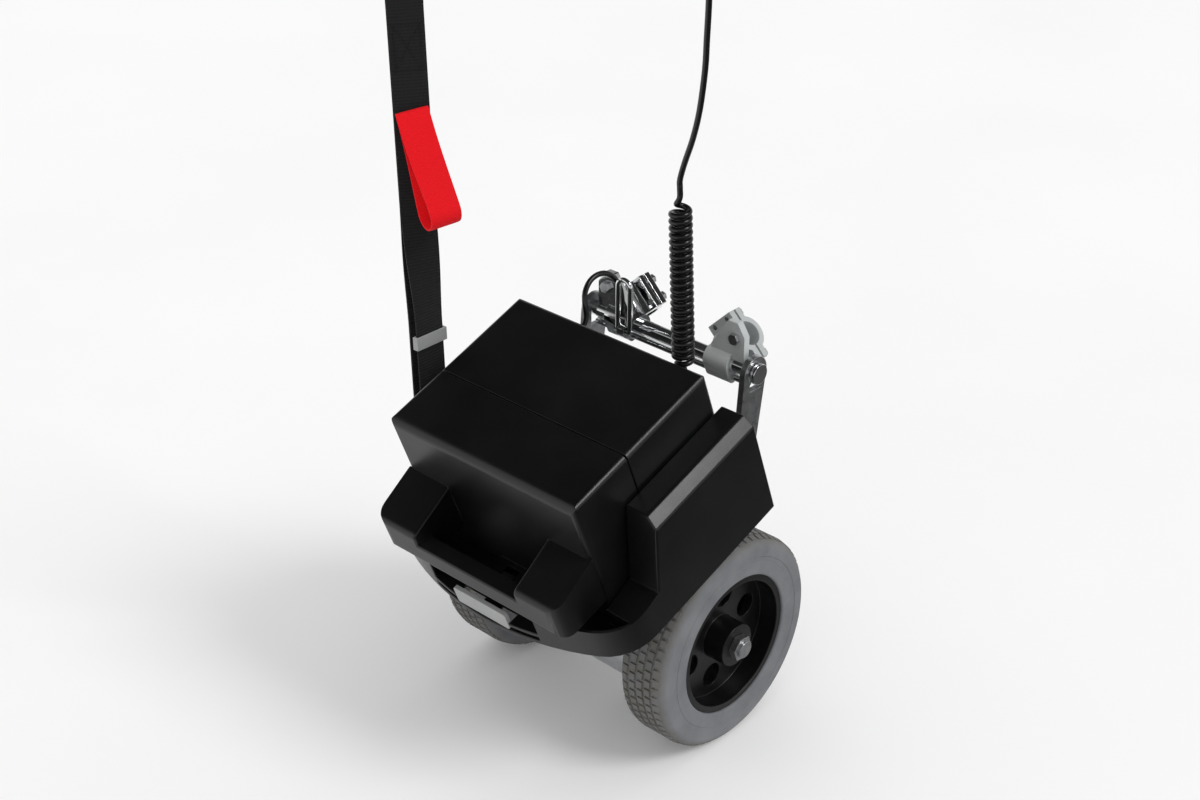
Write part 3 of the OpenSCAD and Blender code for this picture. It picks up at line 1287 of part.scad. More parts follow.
ridge_share = 0.091;      // radius of a ridge, as a share of the dial's
ridge_r = dial_r * ridge_share;
module speed_dial() {
    z0 = pad_top_z + dial_lift;
    color(dark) pad_frame() difference() {
        round_z(dial_r, z0, z0 + dial_h);
        round_z(dial_post + slip, 0, pad_top_z + dial_h - over + dial_lift);
        for (i = [0:ridge_count - 1]) rotate([0, 0, 360 * i / ridge_count])
            translate([dial_r + ridge_r / 2, 0, 0]) round_z(ridge_r, z0 - over, z0 + dial_h + over);
    }
}
module power_rocker() {
    color(red) pad_frame() translate([0, rocker_y, pad_top_z]) {
        along_x(-rocker_half[0], rocker_half[0]) polygon([[-rocker_half[1] + fit, -rocker_deep],
            [rocker_half[1] - 2 * fit, -rocker_deep], [rocker_half[1] - 2 * fit, rocker_up / 2],
            [0, rocker_up / 4], [-rocker_half[1] + fit, rocker_up]]);
        translate([0, 0, -rocker_deep / 2])
            round_x(rocker_pin, -rocker_half[0] - pad_wall / 2 + slip, rocker_half[0] + pad_wall / 2 - slip);
    }
}

crossbar();
tie_rod();
left_brace_clamp();
left_clamp_cap();
right_brace_clamp();
right_clamp_cap();
clamp_bolts();
bail_lever();
hitch_arm_left();
hitch_arm_right();
arm_bolts();
chassis_plate();
base_tray();
front_cover();
cover_screws();
battery_case();
battery_base();
battery_blocks();
battery_contacts();
dock_connector();
latch_plate();
latch_guide();
latch_spring();
controller_box();
motor_can();
motor_end_cap();
motor_gearhead();
pinion_shaft();
gear_case_left();
gear_case_right();
case_screws();
axle_bearings();
axle_hanger();
axle_shaft();
axle_gear();
left_hub();
right_hub();
left_tyre();
right_tyre();
axle_nuts();
cord_gland();
strap_anchor();
anchor_screws();
strap_slider();
lift_strap();
pull_loop();
cord_curl();
cord_lead();
lock_cable();
cable_clip();
pad_shell();
pad_base();
pad_clamp();
pad_clamp_cap();
pad_screws();
pad_gland();
throttle_lever();
speed_dial();
power_rocker();
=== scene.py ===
# %% [markdown]
# A clip-on power assist: a battery drive unit on two small wheels, hung from a chromed hitch bar.
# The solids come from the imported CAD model, in metres, and this lesson dresses them: rounded edges,
# finishes made of shader nodes, and the soft pieces that a solid can only hint at.
# Everything stays in the model's own frame, so no piece needs fitting by eye.

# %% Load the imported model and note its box
import bmesh
import bpy
import json
import math
from mathutils import Matrix, Vector
from mathutils.bvhtree import BVHTree


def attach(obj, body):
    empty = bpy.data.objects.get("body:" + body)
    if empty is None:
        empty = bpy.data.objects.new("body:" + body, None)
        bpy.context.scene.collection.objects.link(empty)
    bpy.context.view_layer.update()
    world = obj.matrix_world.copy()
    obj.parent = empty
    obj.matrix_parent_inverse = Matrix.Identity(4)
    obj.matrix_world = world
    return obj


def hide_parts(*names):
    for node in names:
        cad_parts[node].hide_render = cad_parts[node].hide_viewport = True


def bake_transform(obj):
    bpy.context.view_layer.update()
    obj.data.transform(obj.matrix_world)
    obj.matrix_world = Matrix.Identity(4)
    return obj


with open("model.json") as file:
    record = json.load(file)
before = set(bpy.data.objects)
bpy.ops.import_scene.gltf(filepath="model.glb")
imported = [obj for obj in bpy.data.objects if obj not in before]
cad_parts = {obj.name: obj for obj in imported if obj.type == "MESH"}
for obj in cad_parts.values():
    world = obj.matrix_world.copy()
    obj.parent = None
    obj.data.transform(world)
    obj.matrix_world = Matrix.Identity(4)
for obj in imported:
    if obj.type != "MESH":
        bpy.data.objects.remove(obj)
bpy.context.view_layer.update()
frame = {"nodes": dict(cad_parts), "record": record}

MM = 0.001
home = {name: body for body, names in frame["record"]["behaviour"]["bodies"].items() for name in names}
slot_of = {part["node"]: part["material_slot"] for part in frame["record"]["subparts"]}


def add_object(name, data):
    """A new object in the scene, at the origin of the model's frame."""
    made = bpy.data.objects.new(name, data)
    bpy.context.collection.objects.link(made)
    return made


# %% [markdown]
# The camera stands behind the unit, to its right and above it. Its lens and place were worked out once
# from the photograph, and a small upward shift keeps the optical axis where the photograph has it.
# A camera can be aimed by angles, but aiming it along a direction vector is easier to read.

# %% Camera
camera_data = bpy.data.cameras.new("camera")
camera_data.lens = 57.0
camera_data.sensor_width = 36.0
camera_data.shift_y = 0.005
camera = add_object("camera", camera_data)
camera.location = (0.9618, -1.1338, 0.7680)
look = Vector((-0.0854, 0.0, -0.1011)) - camera.location
camera.rotation_euler = look.to_track_quat("-Z", "Y").to_euler()
bpy.context.scene.camera = camera
print("camera looks along", [round(v, 3) for v in look.normalized()])

# %% [markdown]
# A plain studio: a pale floor, an even sky and one broad sun from the right. Dark plastic is shown by
# what it reflects, so reflections see a sky that is bright at the horizon and dim overhead: walls that
# face the floor look grey, and the flat top stays black. To its right the floor is painted dark for
# reflections only, a painted dark reflection as if a black cloth lay there, which keeps the side wall
# dark and its edges clear. A sun takes the place of a lamp, because its light does not weaken with
# distance and so leaves no bright patch.

# %% Floor and sun
FLOOR_Z = -0.331
FLOOR_HALF = 9
SUN_FROM = Vector((0.67, 0.21, 0.71))
sun_data = bpy.data.lights.new("key", "SUN")
sun_data.energy = 1.1
sun_data.angle = math.radians(22)
sun = add_object("key", sun_data)
sun.rotation_euler = (-SUN_FROM).to_track_quat("-Z", "Y").to_euler()

floor_mesh = bpy.data.meshes.new("floor")
floor_corners = [(x * FLOOR_HALF, y * FLOOR_HALF, FLOOR_Z) for x, y in ((-1, -1), (1, -1), (1, 1), (-1, 1))]
floor_mesh.from_pydata(floor_corners, [], [(0, 1, 2, 3)])
floor = add_object("floor", floor_mesh)
print("floor at", FLOOR_Z)

# %% [markdown]
# Node trees get long when each node takes four lines. One small helper adds a node, fills or links its
# sockets and returns it, and a few more build on it, so that a material below reads like a recipe.

# %% Helpers for node trees
GRAIN_H = 0.0002


def grow(tree, kind, ins=None, **settings):
    made = tree.nodes.new(kind)
    for key, value in settings.items():
        setattr(made, key, value)
    for key, value in (ins or {}).items():
        if isinstance(value, bpy.types.NodeSocket):
            tree.links.new(value, made.inputs[key])
        else:
            made.inputs[key].default_value = value
    return made


def spread(tree, value, low, high):
    """A factor from a texture, stretched to run from low to high."""
    made = grow(tree, "ShaderNodeMapRange", {"Value": value, "From Min": 0.3, "From Max": 0.7,
                                             "To Min": low, "To Max": high})
    return made.outputs["Result"]


def two_tone(tree, factor, low, high):
    """A colour that runs from one tone to another with a factor. A tone is a colour or a socket."""
    low, high = (tone if isinstance(tone, bpy.types.NodeSocket) else (*tone, 1) for tone in (low, high))
    made = grow(tree, "ShaderNodeMix", {0: factor, 6: low, 7: high}, data_type="RGBA")
    return made.outputs[2]


def noise(tree, place, scale, detail=3.0, rough=0.55):
    made = grow(tree, "ShaderNodeTexNoise", {"Vector": place, "Scale": scale, "Detail": detail,
                                             "Roughness": rough})
    return made.outputs["Fac"]


def calc(tree, kind, a, b):
    """One step of arithmetic with two sockets or numbers."""
    return grow(tree, "ShaderNodeMath", {0: a, 1: b}, operation=kind).outputs[0]


def emboss(tree, shader, height, strength, distance=GRAIN_H):
    """Lifts the surface by a texture's height, in its shading only."""
    relief = grow(tree, "ShaderNodeBump", {"Strength": strength, "Distance": distance, "Height": height})
    tree.links.new(relief.outputs[0], shader.inputs["Normal"])


print("helpers ready")

# %% World and floor finish
world = bpy.data.worlds.new("studio")
bpy.context.scene.world = world
world.use_nodes = True
sky = world.node_tree
sky.nodes.clear()
ray = grow(sky, "ShaderNodeLightPath")
aim = grow(sky, "ShaderNodeTexCoord")
up = grow(sky, "ShaderNodeSeparateXYZ", {0: aim.outputs["Generated"]})
fall = grow(sky, "ShaderNodeMapRange", {"Value": up.outputs["Z"], "From Min": 0.1, "From Max": 0.55,
                                        "To Min": 1.0, "To Max": 0.03})
shiny = calc(sky, "MAXIMUM", ray.outputs["Is Glossy Ray"], ray.outputs["Is Transmission Ray"])
seen = grow(sky, "ShaderNodeMix", {0: shiny, 2: 0.75, 3: fall.outputs[0]})
power = grow(sky, "ShaderNodeMix", {0: ray.outputs["Is Camera Ray"], 2: seen.outputs[0], 3: 1.0})
glow = grow(sky, "ShaderNodeBackground", {"Color": (1, 1, 1, 1), "Strength": power.outputs[0]})
grow(sky, "ShaderNodeOutputWorld", {"Surface": glow.outputs[0]})


def new_finish(name):
    """A material with its tree, its shader and the coordinates of the piece's own space."""
    made = bpy.data.materials.new(name)
    made.use_nodes = True
    tree = made.node_tree
    place = grow(tree, "ShaderNodeTexCoord").outputs["Object"]
    return made, tree, tree.nodes["Principled BSDF"], place


floor_finish, tree, shader, place = new_finish("pale_floor")
tone = two_tone(tree, spread(tree, noise(tree, place, 1.5), 0, 1), (0.90, 0.90, 0.90), (0.93, 0.93, 0.93))
path_kind = grow(tree, "ShaderNodeLightPath")
rightward = grow(tree, "ShaderNodeSeparateXYZ", {0: place}).outputs["X"]
right = grow(tree, "ShaderNodeMapRange", {"Value": rightward, "From Min": 0.05, "From Max": 0.3})
# painted dark reflection: glossy rays see the floor dark to the right of the unit
painted_dark_reflection = calc(tree, "MULTIPLY", path_kind.outputs["Is Glossy Ray"], right.outputs[0])
tree.links.new(two_tone(tree, painted_dark_reflection, tone, (0.08, 0.08, 0.08)), shader.inputs["Base Color"])
shader.inputs["Roughness"].default_value = 0.9
shader.inputs["Specular IOR Level"].default_value = 0.1
shader.inputs["Emission Color"].default_value = (1, 1, 1, 1)
lit = calc(tree, "MULTIPLY", path_kind.outputs["Is Camera Ray"], 0.05)
tree.links.new(lit, shader.inputs["Emission Strength"])
floor_mesh.materials.append(floor_finish)
print("world and floor ready")

# %% [markdown]
# The housings are black plastic from a textured mould: a fine grain under the finger, patches that are
# a little shinier, and a faint bloom of dust. All three come from noise at different scales, on the
# piece's own coordinates, so the grain has a real size and needs no unwrapping.

# %% Plastics
# the satin dark plastic's tone, also used below as painted shade on the latch stem
SATIN_DARK_AND_PAINTED_SHADE = (0.009, 0.009, 0.0095)


def plastic(name, dark, light, rough, grain, bump, shine=0.5):
    made, tree, shader, place = new_finish(name)
    shader.inputs["Specular IOR Level"].default_value = shine
    bloom = spread(tree, noise(tree, place, 22, 6, 0.62), 0, 1)
    tree.links.new(two_tone(tree, bloom, dark, light), shader.inputs["Base Color"])
    patch = noise(tree, place, 7, 4)
    tree.links.new(spread(tree, patch, rough[0], rough[1]), shader.inputs["Roughness"])
    pores = grow(tree, "ShaderNodeTexVoronoi", {"Vector": place, "Scale": grain}, feature="SMOOTH_F1")
    fine = calc(tree, "ADD", pores.outputs["Distance"], noise(tree, place, grain * 0.6, 2))
    emboss(tree, shader, fine, bump)
    return made


finish = {
    "shell_black": plastic("moulded_black", (0.0028, 0.0029, 0.0030), (0.0056, 0.0058, 0.0060),
                           (0.28, 0.40), 1300, 0.16, 0.45),
    "part_dark": plastic("satin_dark", SATIN_DARK_AND_PAINTED_SHADE, (0.015, 0.015, 0.0155), (0.38, 0.48), 1600, 0.12),
    "pale_plastic": plastic("pale_grey_plastic", (0.34, 0.35, 0.345), (0.40, 0.41, 0.40),
                            (0.38, 0.5), 1500, 0.10),
    "switch_red": plastic("switch_red", (0.42, 0.012, 0.012), (0.5, 0.02, 0.018), (0.18, 0.26), 900, 0.04),
    "cell_wrap": plastic("shrink_film", (0.035, 0.07, 0.2), (0.05, 0.09, 0.24), (0.2, 0.3), 300, 0.15),
    "cord_rubber": plastic("cord_rubber", (0.004, 0.004, 0.0043), (0.007, 0.007, 0.0075),
                           (0.22, 0.30), 1800, 0.10),
}
print("plastics", len(finish))

# %% [markdown]
# Metals differ by how they were finished. Chrome is nearly a mirror with hairline scratches, zinc plate
# is mottled, a die casting keeps the skin of its mould, and paint lies over steel like orange peel.
# One function with a few numbers covers them, because only scale and roughness change.

# %% Metals
def metal(name, dark, light, rough, scale, bump, plating=1.0):
    made, tree, shader, place = new_finish(name)
    shader.inputs["Metallic"].default_value = plating
    cloud = spread(tree, noise(tree, place, scale, 5, 0.6), 0, 1)
    tree.links.new(two_tone(tree, cloud, dark, light), shader.inputs["Base Color"])
    stretch = grow(tree, "ShaderNodeMapping", {"Vector": place, "Scale": (40, 900, 900)})
    hair = noise(tree, stretch.outputs[0], 1.0, 2)
    worn = calc(tree, "MULTIPLY", hair, noise(tree, place, scale * 2, 4))
    lift = grow(tree, "ShaderNodeMapRange", {"Value": worn, "From Min": 0.12, "From Max": 0.42,
                                             "To Min": rough[0], "To Max": rough[1]})
    tree.links.new(lift.outputs[0], shader.inputs["Roughness"])
    emboss(tree, shader, noise(tree, place, scale * 14, 3), bump)
    return made


finish |= {
    "chrome": metal("chrome_plate", (0.70, 0.71, 0.72), (0.80, 0.81, 0.82), (0.04, 0.16), 40, 0.03),
    "zinc": metal("zinc_plate", (0.46, 0.47, 0.48), (0.62, 0.63, 0.64), (0.26, 0.46), 120, 0.08),
    "cast_alloy": metal("cast_alloy", (0.50, 0.51, 0.52), (0.62, 0.63, 0.64), (0.34, 0.5), 60, 0.20),
    "contact_brass": metal("contact_brass", (0.60, 0.42, 0.14), (0.75, 0.56, 0.24), (0.18, 0.34), 90, 0.05),
    "cast_grey": metal("grey_enamel", (0.44, 0.46, 0.46), (0.52, 0.54, 0.54), (0.24, 0.40), 25, 0.08, 0.0),
    "motor_paint": metal("motor_paint", (0.016, 0.016, 0.017), (0.025, 0.025, 0.026),
                         (0.30, 0.45), 50, 0.12, 0.0),
}
print("finishes", len(finish))

# %% [markdown]
# Tyres are grey rubber, browner where the tread picks up dirt. The colour follows the distance from the
# axle, which the piece's coordinates give once a Mapping node has moved the origin onto the axle line.

# %% Tyre rubber
AXLE = Vector((0, -0.063, -0.231))
DIRT_FROM, DIRT_FULL = 0.092, 0.0985
rubber, tree, shader, place = new_finish("tyre_rubber")
centred = grow(tree, "ShaderNodeMapping", {"Vector": place, "Location": (0, -AXLE.y, -AXLE.z)})
flat = grow(tree, "ShaderNodeVectorMath", {0: centred.outputs[0], 1: (0, 1, 1)}, operation="MULTIPLY")
reach = grow(tree, "ShaderNodeVectorMath", {0: flat.outputs[0]}, operation="LENGTH")
outer = grow(tree, "ShaderNodeMapRange", {"Value": reach.outputs["Value"], "From Min": DIRT_FROM,
                                          "From Max": DIRT_FULL})
dirt = calc(tree, "MULTIPLY", outer.outputs[0], spread(tree, noise(tree, place, 90, 5), 0.3, 1))
mottle = spread(tree, noise(tree, place, 35, 5), 0, 1)
clean = two_tone(tree, mottle, (0.135, 0.14, 0.15), (0.19, 0.195, 0.205))
tree.links.new(two_tone(tree, dirt, clean, (0.135, 0.128, 0.112)), shader.inputs["Base Color"])
tree.links.new(spread(tree, noise(tree, place, 60), 0.6, 0.8), shader.inputs["Roughness"])
emboss(tree, shader, noise(tree, place, 1400, 3), 0.25)
finish["tyre_grey"] = rubber
print("tyre rubber ready")

# %% [markdown]
# Webbing is woven in ribs that cross the strap, with a finer grain of yarn along it. The strap gets a UV
# map in metres: U runs across and V along. So one rib has the same size however the strap bends.
# At scale 1 a Wave texture repeats every WAVE metres.

# %% Webbing
WAVE = 0.31416
WEAVE_H = 0.0005


def webbing(name, valley, ridge, rib, yarn, depth, fuzz_sheen):
    made, tree, shader, _ = new_finish(name)
    uv = grow(tree, "ShaderNodeUVMap").outputs[0]
    ribs = grow(tree, "ShaderNodeTexWave", {"Vector": uv, "Scale": WAVE / rib, "Distortion": 0.6,
                                            "Detail": 1.0}, bands_direction="Y").outputs["Fac"]
    yarns = grow(tree, "ShaderNodeTexWave", {"Vector": uv, "Scale": WAVE / yarn, "Distortion": 1.2,
                                             "Detail": 1.0}, bands_direction="X").outputs["Fac"]
    weave = grow(tree, "ShaderNodeMix", {0: 0.4, 2: ribs, 3: yarns}).outputs[0]
    fuzz = noise(tree, uv, 900, 3)
    tone = calc(tree, "MULTIPLY", weave, fuzz)
    tree.links.new(two_tone(tree, tone, valley, ridge), shader.inputs["Base Color"])
    shader.inputs["Roughness"].default_value = 0.82
    shader.inputs["Specular IOR Level"].default_value = 0.25
    shader.inputs["Sheen Weight"].default_value = fuzz_sheen
    shader.inputs["Sheen Roughness"].default_value = 0.5
    emboss(tree, shader, weave, depth, WEAVE_H)
    return made


finish["strap_web"] = webbing("black_webbing", (0.006, 0.006, 0.0065), (0.020, 0.020, 0.021),
                              0.0028, 0.0011, 0.8, 0.10)
finish["loop_web"] = webbing("red_webbing", (0.80, 0.002, 0.007), (1.0, 0.005, 0.015),
                             0.0016, 0.0010, 0.5, 0.02)
print("finishes", sorted(finish))

# %% [markdown]
# Every CAD node takes the finish of its slot in the record, also the ones inside the housings, which
# show when the battery is lifted out.

# %% Dress the CAD nodes
for name, solid in frame["nodes"].items():
    solid.data.materials.clear()
    solid.data.materials.append(finish[slot_of[name]])
print("dressed", len(frame["nodes"]))

# %% [markdown]
# No moulded or machined edge is perfectly sharp, and it is the small round along an edge that catches
# the light. Rounding could be built into each solid, but a Bevel modifier on a merged copy is quicker
# and keeps the CAD node as it is. The copy then stands for the node and rides on the same body. Every run
# of edges has a limit of its own, because one for the whole piece would be set by its tightest corner.
# Two rounds that share a thin rim each keep to less than half of it, or their faces would cross.

# %% Copies with rounded edges
LONG_EDGE = 22 * MM
LONG_ROUNDS = {"battery_case": 2.6, "front_cover": 2.6, "base_tray": 2.0}
JOINTS = {"battery_case": "front_cover", "front_cover": "battery_case"}
JOINT_NEAR = 1.5 * MM
SHARP = math.radians(35)
FLAT = math.radians(1.5)
RUNS_ON = -0.8
GAP_SHARE = 0.45
END_SHARE = 0.42
ROUND_STEPS = 3
CLEAR = 0.2 * MM


def applied(piece):
    """Turns the piece's live modifiers into plain mesh."""
    graph = bpy.context.evaluated_depsgraph_get()
    mesh = bpy.data.meshes.new_from_object(piece.evaluated_get(graph))
    piece.modifiers.clear()
    piece.data = mesh
    return piece


def middle_of(edge):
    return (edge.verts[0].co + edge.verts[1].co) / 2


def runs_on(edge, beside, vert):
    """Whether the edge beside carries on from an edge at their shared vertex, nearly straight."""
    ways = [(e.other_vert(vert).co - vert.co).normalized() for e in (edge, beside)]
    return ways[0].dot(ways[1]) < RUNS_ON


def apart(point, edge):
    """Distance from a point to an edge."""
    start, way = edge.verts[0].co, edge.verts[1].co - edge.verts[0].co
    share = min(max((point - start).dot(way) / way.length_squared, 0.0), 1.0)
    return (point - start - way * share).length


def room_at(edge, chain, spots, goal):
    """How far a round may reach from an edge: less than half of the way to what else bounds its faces.
    The spots give each edge's middle and half length. An edge too far off to matter is passed over."""
    rooms = [goal]
    here, half = spots[edge]
    for face in edge.link_faces:
        if len(face.verts) < 5:
            rooms.append(GAP_SHARE * max(apart(v.co, edge) for v in face.verts))
        for beside in face.edges:
            there, other_half = spots[beside]
            if beside in chain or (there - here).length - half - other_half > goal / GAP_SHARE:
                continue
            shared = [v for v in edge.verts if v in beside.verts]
            if not shared:
                gaps = [apart(v.co, beside) for v in edge.verts] + [apart(v.co, edge) for v in beside.verts]
                rooms.append(GAP_SHARE * min(gaps))
            elif not runs_on(edge, beside, shared[0]):
                rooms.append(END_SHARE * beside.calc_length())
    return min(rooms)


def skin_of(mesh):
    return BVHTree.FromPolygons([v.co for v in mesh.vertices], [tuple(p.vertices) for p in mesh.polygons])


def is_long(edge, skin, partner):
    """A long edge of the outside: a line outwards from it meets nothing, and no partner joins there."""
    if not edge.is_convex or edge.calc_length() < LONG_EDGE:
        return False
    out = (edge.link_faces[0].normal + edge.link_faces[1].normal).normalized()
    middle = middle_of(edge)
    if partner and partner.find_nearest(middle, JOINT_NEAR)[0] is not None:
        return False
    return skin.ray_cast(middle + out * CLEAR, out)[0] is None


def chains(shape):
    """Groups of sharp edges that run on into each other, so that a round keeps its width along them."""
    left = {e for e in shape.edges if len(e.link_faces) == 2 and e.calc_face_angle(0) > SHARP}
    order = [e for e in shape.edges if e in left]
    for first in order:
        if first not in left:
            continue
        left.discard(first)
        chain, todo = [first], [first]
        while todo:
            edge = todo.pop()
            for vert in edge.verts:
                for beside in vert.link_edges:
                    if beside in left and runs_on(edge, beside, vert):
                        left.discard(beside)
                        chain.append(beside)
                        todo.append(beside)
        yield chain


def rounded(name, width, long_width):
    """A copy of a node with rounded edges, which stands for the node."""
    mesh = frame["nodes"][name].data.copy()
    shape = bmesh.new()
    shape.from_mesh(mesh)
    bmesh.ops.remove_doubles(shape, verts=shape.verts, dist=1e-6)
    bmesh.ops.dissolve_limit(shape, angle_limit=FLAT, verts=shape.verts, edges=shape.edges)
    weight = shape.edges.layers.float.new("bevel_weight_edge")
    skin = BVHTree.FromBMesh(shape)
    partner = skin_of(frame["nodes"][JOINTS[name]].data) if name in JOINTS else None
    spots = {e: (middle_of(e), e.calc_length() / 2) for e in shape.edges}
    for chain in chains(shape):
        goal = long_width if any(is_long(edge, skin, partner) for edge in chain) else width
        members = set(chain)
        reach = min(room_at(edge, members, spots, goal) for edge in chain)
        for edge in chain:
            edge[weight] = reach / long_width
    shape.to_mesh(mesh)
    shape.free()
    piece = add_object(name + "_finished", mesh)
    for face in mesh.polygons:
        face.use_smooth = True
    bevel = piece.modifiers.new("bevel", "BEVEL")
    bevel.width = long_width
    bevel.segments = ROUND_STEPS
    bevel.limit_method = "WEIGHT"
    bevel.use_clamp_overlap = False
    even = piece.modifiers.new("even", "WEIGHTED_NORMAL")
    even.keep_sharp = True
    applied(piece)
    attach(piece, home[name])
    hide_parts(name)
    return piece


ROUNDS = {
    "base_tray": 1.2, "front_cover": 0.6, "battery_case": 0.7, "battery_base": 0.5, "latch_plate": 0.6,
    "latch_guide": 0.4, "controller_box": 0.5, "dock_connector": 0.3, "battery_blocks": 1.5,
    "motor_can": 0.8, "motor_end_cap": 1.0, "motor_gearhead": 0.8, "gear_case_left": 1.2,
    "gear_case_right": 1.2, "axle_hanger": 0.6, "left_hub": 0.8, "right_hub": 0.8, "axle_nuts": 0.6,
    "axle_shaft": 0.8, "crossbar": 0.8, "left_brace_clamp": 0.8, "left_clamp_cap": 0.8,
    "right_brace_clamp": 0.9, "right_clamp_cap": 0.9, "clamp_bolts": 0.5, "hitch_arm_left": 0.5,
    "hitch_arm_right": 0.5, "arm_bolts": 0.4, "cover_screws": 0.4, "case_screws": 0.4,
    "anchor_screws": 0.4, "strap_anchor": 0.5, "strap_slider": 0.3, "cord_gland": 1.0, "cable_clip": 0.8,
    "pad_shell": 0.7, "pad_base": 0.7, "pad_clamp": 0.8, "pad_clamp_cap": 0.8, "pad_screws": 0.4,
    "pad_gland": 0.7, "throttle_lever": 1.2, "speed_dial": 0.6, "power_rocker": 0.4, "chassis_plate": 0.4,
}
finished = {name: rounded(name, width * MM, LONG_ROUNDS.get(name, width) * MM)
            for name, width in ROUNDS.items()}
print("rounded", len(finished))

# %% [markdown]
# Only the push plate is pale. The stem and the hook behind it are painted dark as painted shade of the
# finger pocket, so the hook shows no pale speck there. One finish does both: the distance along the
# latch's own axis tells whether a point lies behind the plate.

# %% Painted shade on the stem behind the push plate
PLATE_T = 4.2 * MM
axes = {joint["name"]: Vector(joint["axis"]) for joint in frame["record"]["behaviour"]["joints"]}
push = axes["latch_push"]
plate_back = min(v.co.dot(push) for v in frame["nodes"]["latch_plate"].data.vertices) + PLATE_T
plate_and_painted_shade = finish["pale_plastic"].copy()
plate_and_painted_shade.name = "push_plate_with_painted_shade"
tree = plate_and_painted_shade.node_tree
shader = tree.nodes["Principled BSDF"]
place = tree.nodes["Texture Coordinate"].outputs["Object"]
pale = shader.inputs["Base Color"].links[0].from_socket
depth = grow(tree, "ShaderNodeVectorMath", {0: place, 1: push}, operation="DOT_PRODUCT").outputs["Value"]
# painted shade: points behind the plate take the dark tone of the finger pocket's shade
painted_shade_mask = calc(tree, "GREATER_THAN", depth, plate_back)
tree.links.new(two_tone(tree, painted_shade_mask, pale, SATIN_DARK_AND_PAINTED_SHADE), shader.inputs["Base Color"])
finished["latch_plate"].data.materials[0] = plate_and_painted_shade
print("push plate pale as far as", round(plate_back, 4))

# %% [markdown]
# A tyre is a lathe shape with rubber blocks moulded on its crown. The lathe takes its width and its radii
# from the solid and leaves room for the blocks. One strip of blocks across the tread is built once, and
# Geometry Nodes set it round the axle as often as the input says. Neighbouring rows are staggered by half
# a pitch, so the wheel never rolls over a gap.

# %% Tyres
TREAD_H = 1.5 * MM
SHOULDER = 8 * MM
BEAD = 2 * MM
RIB = 0.5 * MM


def arc(centre, r, start, stop, steps):
    """Points of an arc, with angles in degrees from the first direction."""
    angles = [math.radians(start + (stop - start) * i / steps) for i in range(steps + 1)]
    return [(centre[0] + r * math.cos(a), centre[1] + r * math.sin(a)) for a in angles]


def even_faces(mesh, sharp):
    """Turns all faces outwards and shades them smoothly, except at edges above an angle in degrees."""
    shape = bmesh.new()
    shape.from_mesh(mesh)
    bmesh.ops.recalc_face_normals(shape, faces=shape.faces)
    shape.to_mesh(mesh)
    shape.free()
    for face in mesh.polygons:
        face.use_smooth = True
    mesh.set_sharp_from_angle(angle=math.radians(sharp))


def lathe(name, profile, centre, steps):
    """Turns a closed profile of (x, r) points about the line along x through the centre."""
    n = len(profile)
    verts, faces = [], []
    for i in range(steps):
        a = 2 * math.pi * i / steps
        back, up = math.sin(a), math.cos(a)
        verts += [(centre.x + x, centre.y - r * back, centre.z + r * up) for x, r in profile]
    for i in range(steps):
        for k in range(n):
            a, b = i * n, ((i + 1) % steps) * n
            faces.append((a + k, b + k, b + (k + 1) % n, a + (k + 1) % n))
    mesh = bpy.data.meshes.new(name)
    mesh.from_pydata(verts, [], faces)
    even_faces(mesh, 40)
    return add_object(name, mesh)


solid = frame["nodes"]["right_tyre"].data
reaches = [math.hypot(v.co.y - AXLE.y, v.co.z - AXLE.z) for v in solid.vertices]
tyre_in, tyre_out = min(reaches), max(reaches)
tyre_x0, tyre_x1 = min(v.co.x for v in solid.vertices), max(v.co.x for v in solid.vertices)
half = (tyre_x1 - tyre_x0) / 2
WHEEL_X = (tyre_x0 + tyre_x1) / 2
crown = tyre_out - TREAD_H
side = arc((half - BEAD, tyre_in + BEAD), BEAD, -90, 0, 5)
rib_r = (tyre_in + crown - SHOULDER) / 2 + BEAD
side += [(half, rib_r - 3 * RIB), (half - RIB, rib_r - 2 * RIB)]
side += [(half - RIB, rib_r + 6 * RIB), (half, rib_r + 7 * RIB)]
side += arc((half - SHOULDER, crown - SHOULDER), SHOULDER, 0, 90, 9)
profile = side + [(-x, r) for x, r in reversed(side)]
for name, across in (("left_tyre", -WHEEL_X), ("right_tyre", WHEEL_X)):
    piece = lathe(name + "_turned", profile, AXLE + Vector((across, 0, 0)), 120)
    piece.data.materials.append(finish["tyre_grey"])
    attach(piece, "wheels")
    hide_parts(name)
print("tyre", round(tyre_in, 4), round(tyre_out, 4), "wheels at", round(WHEEL_X, 4))

# %% Tread by Geometry Nodes
def group_of(name, inputs):
    """A node group with named inputs and one geometry output; the dictionary maps names to identifiers."""
    tree = bpy.data.node_groups.new(name, "GeometryNodeTree")
    tree.interface.new_socket("Geometry", in_out="OUTPUT", socket_type="NodeSocketGeometry")
    keys = {label: tree.interface.new_socket(label, in_out="INPUT", socket_type=kind).identifier
            for label, kind in inputs}
    return tree, keys, tree.nodes.new("NodeGroupInput").outputs


def turned(tree, shape, move=(0, 0, 0), turn=(0, 0, 0)):
    made = grow(tree, "GeometryNodeTransform", {"Geometry": shape, "Translation": move, "Rotation": turn})
    return made.outputs[0]


def vector(tree, **parts):
    made = grow(tree, "ShaderNodeCombineXYZ", {axis.upper(): value for axis, value in parts.items()})
    return made.outputs[0]


def dyed(tree, shape, material):
    return grow(tree, "GeometryNodeSetMaterial", {"Geometry": shape, "Material": material}).outputs[0]


def made_by(name, tree, keys, values, base=None):
    """Runs a node group on a new object and keeps the result as plain mesh."""
    piece = add_object(name, base or bpy.data.meshes.new(name))
    nodes = piece.modifiers.new(name, "NODES")
    nodes.node_group = tree
    for label, value in values.items():
        nodes[keys[label]] = value
    return applied(piece)


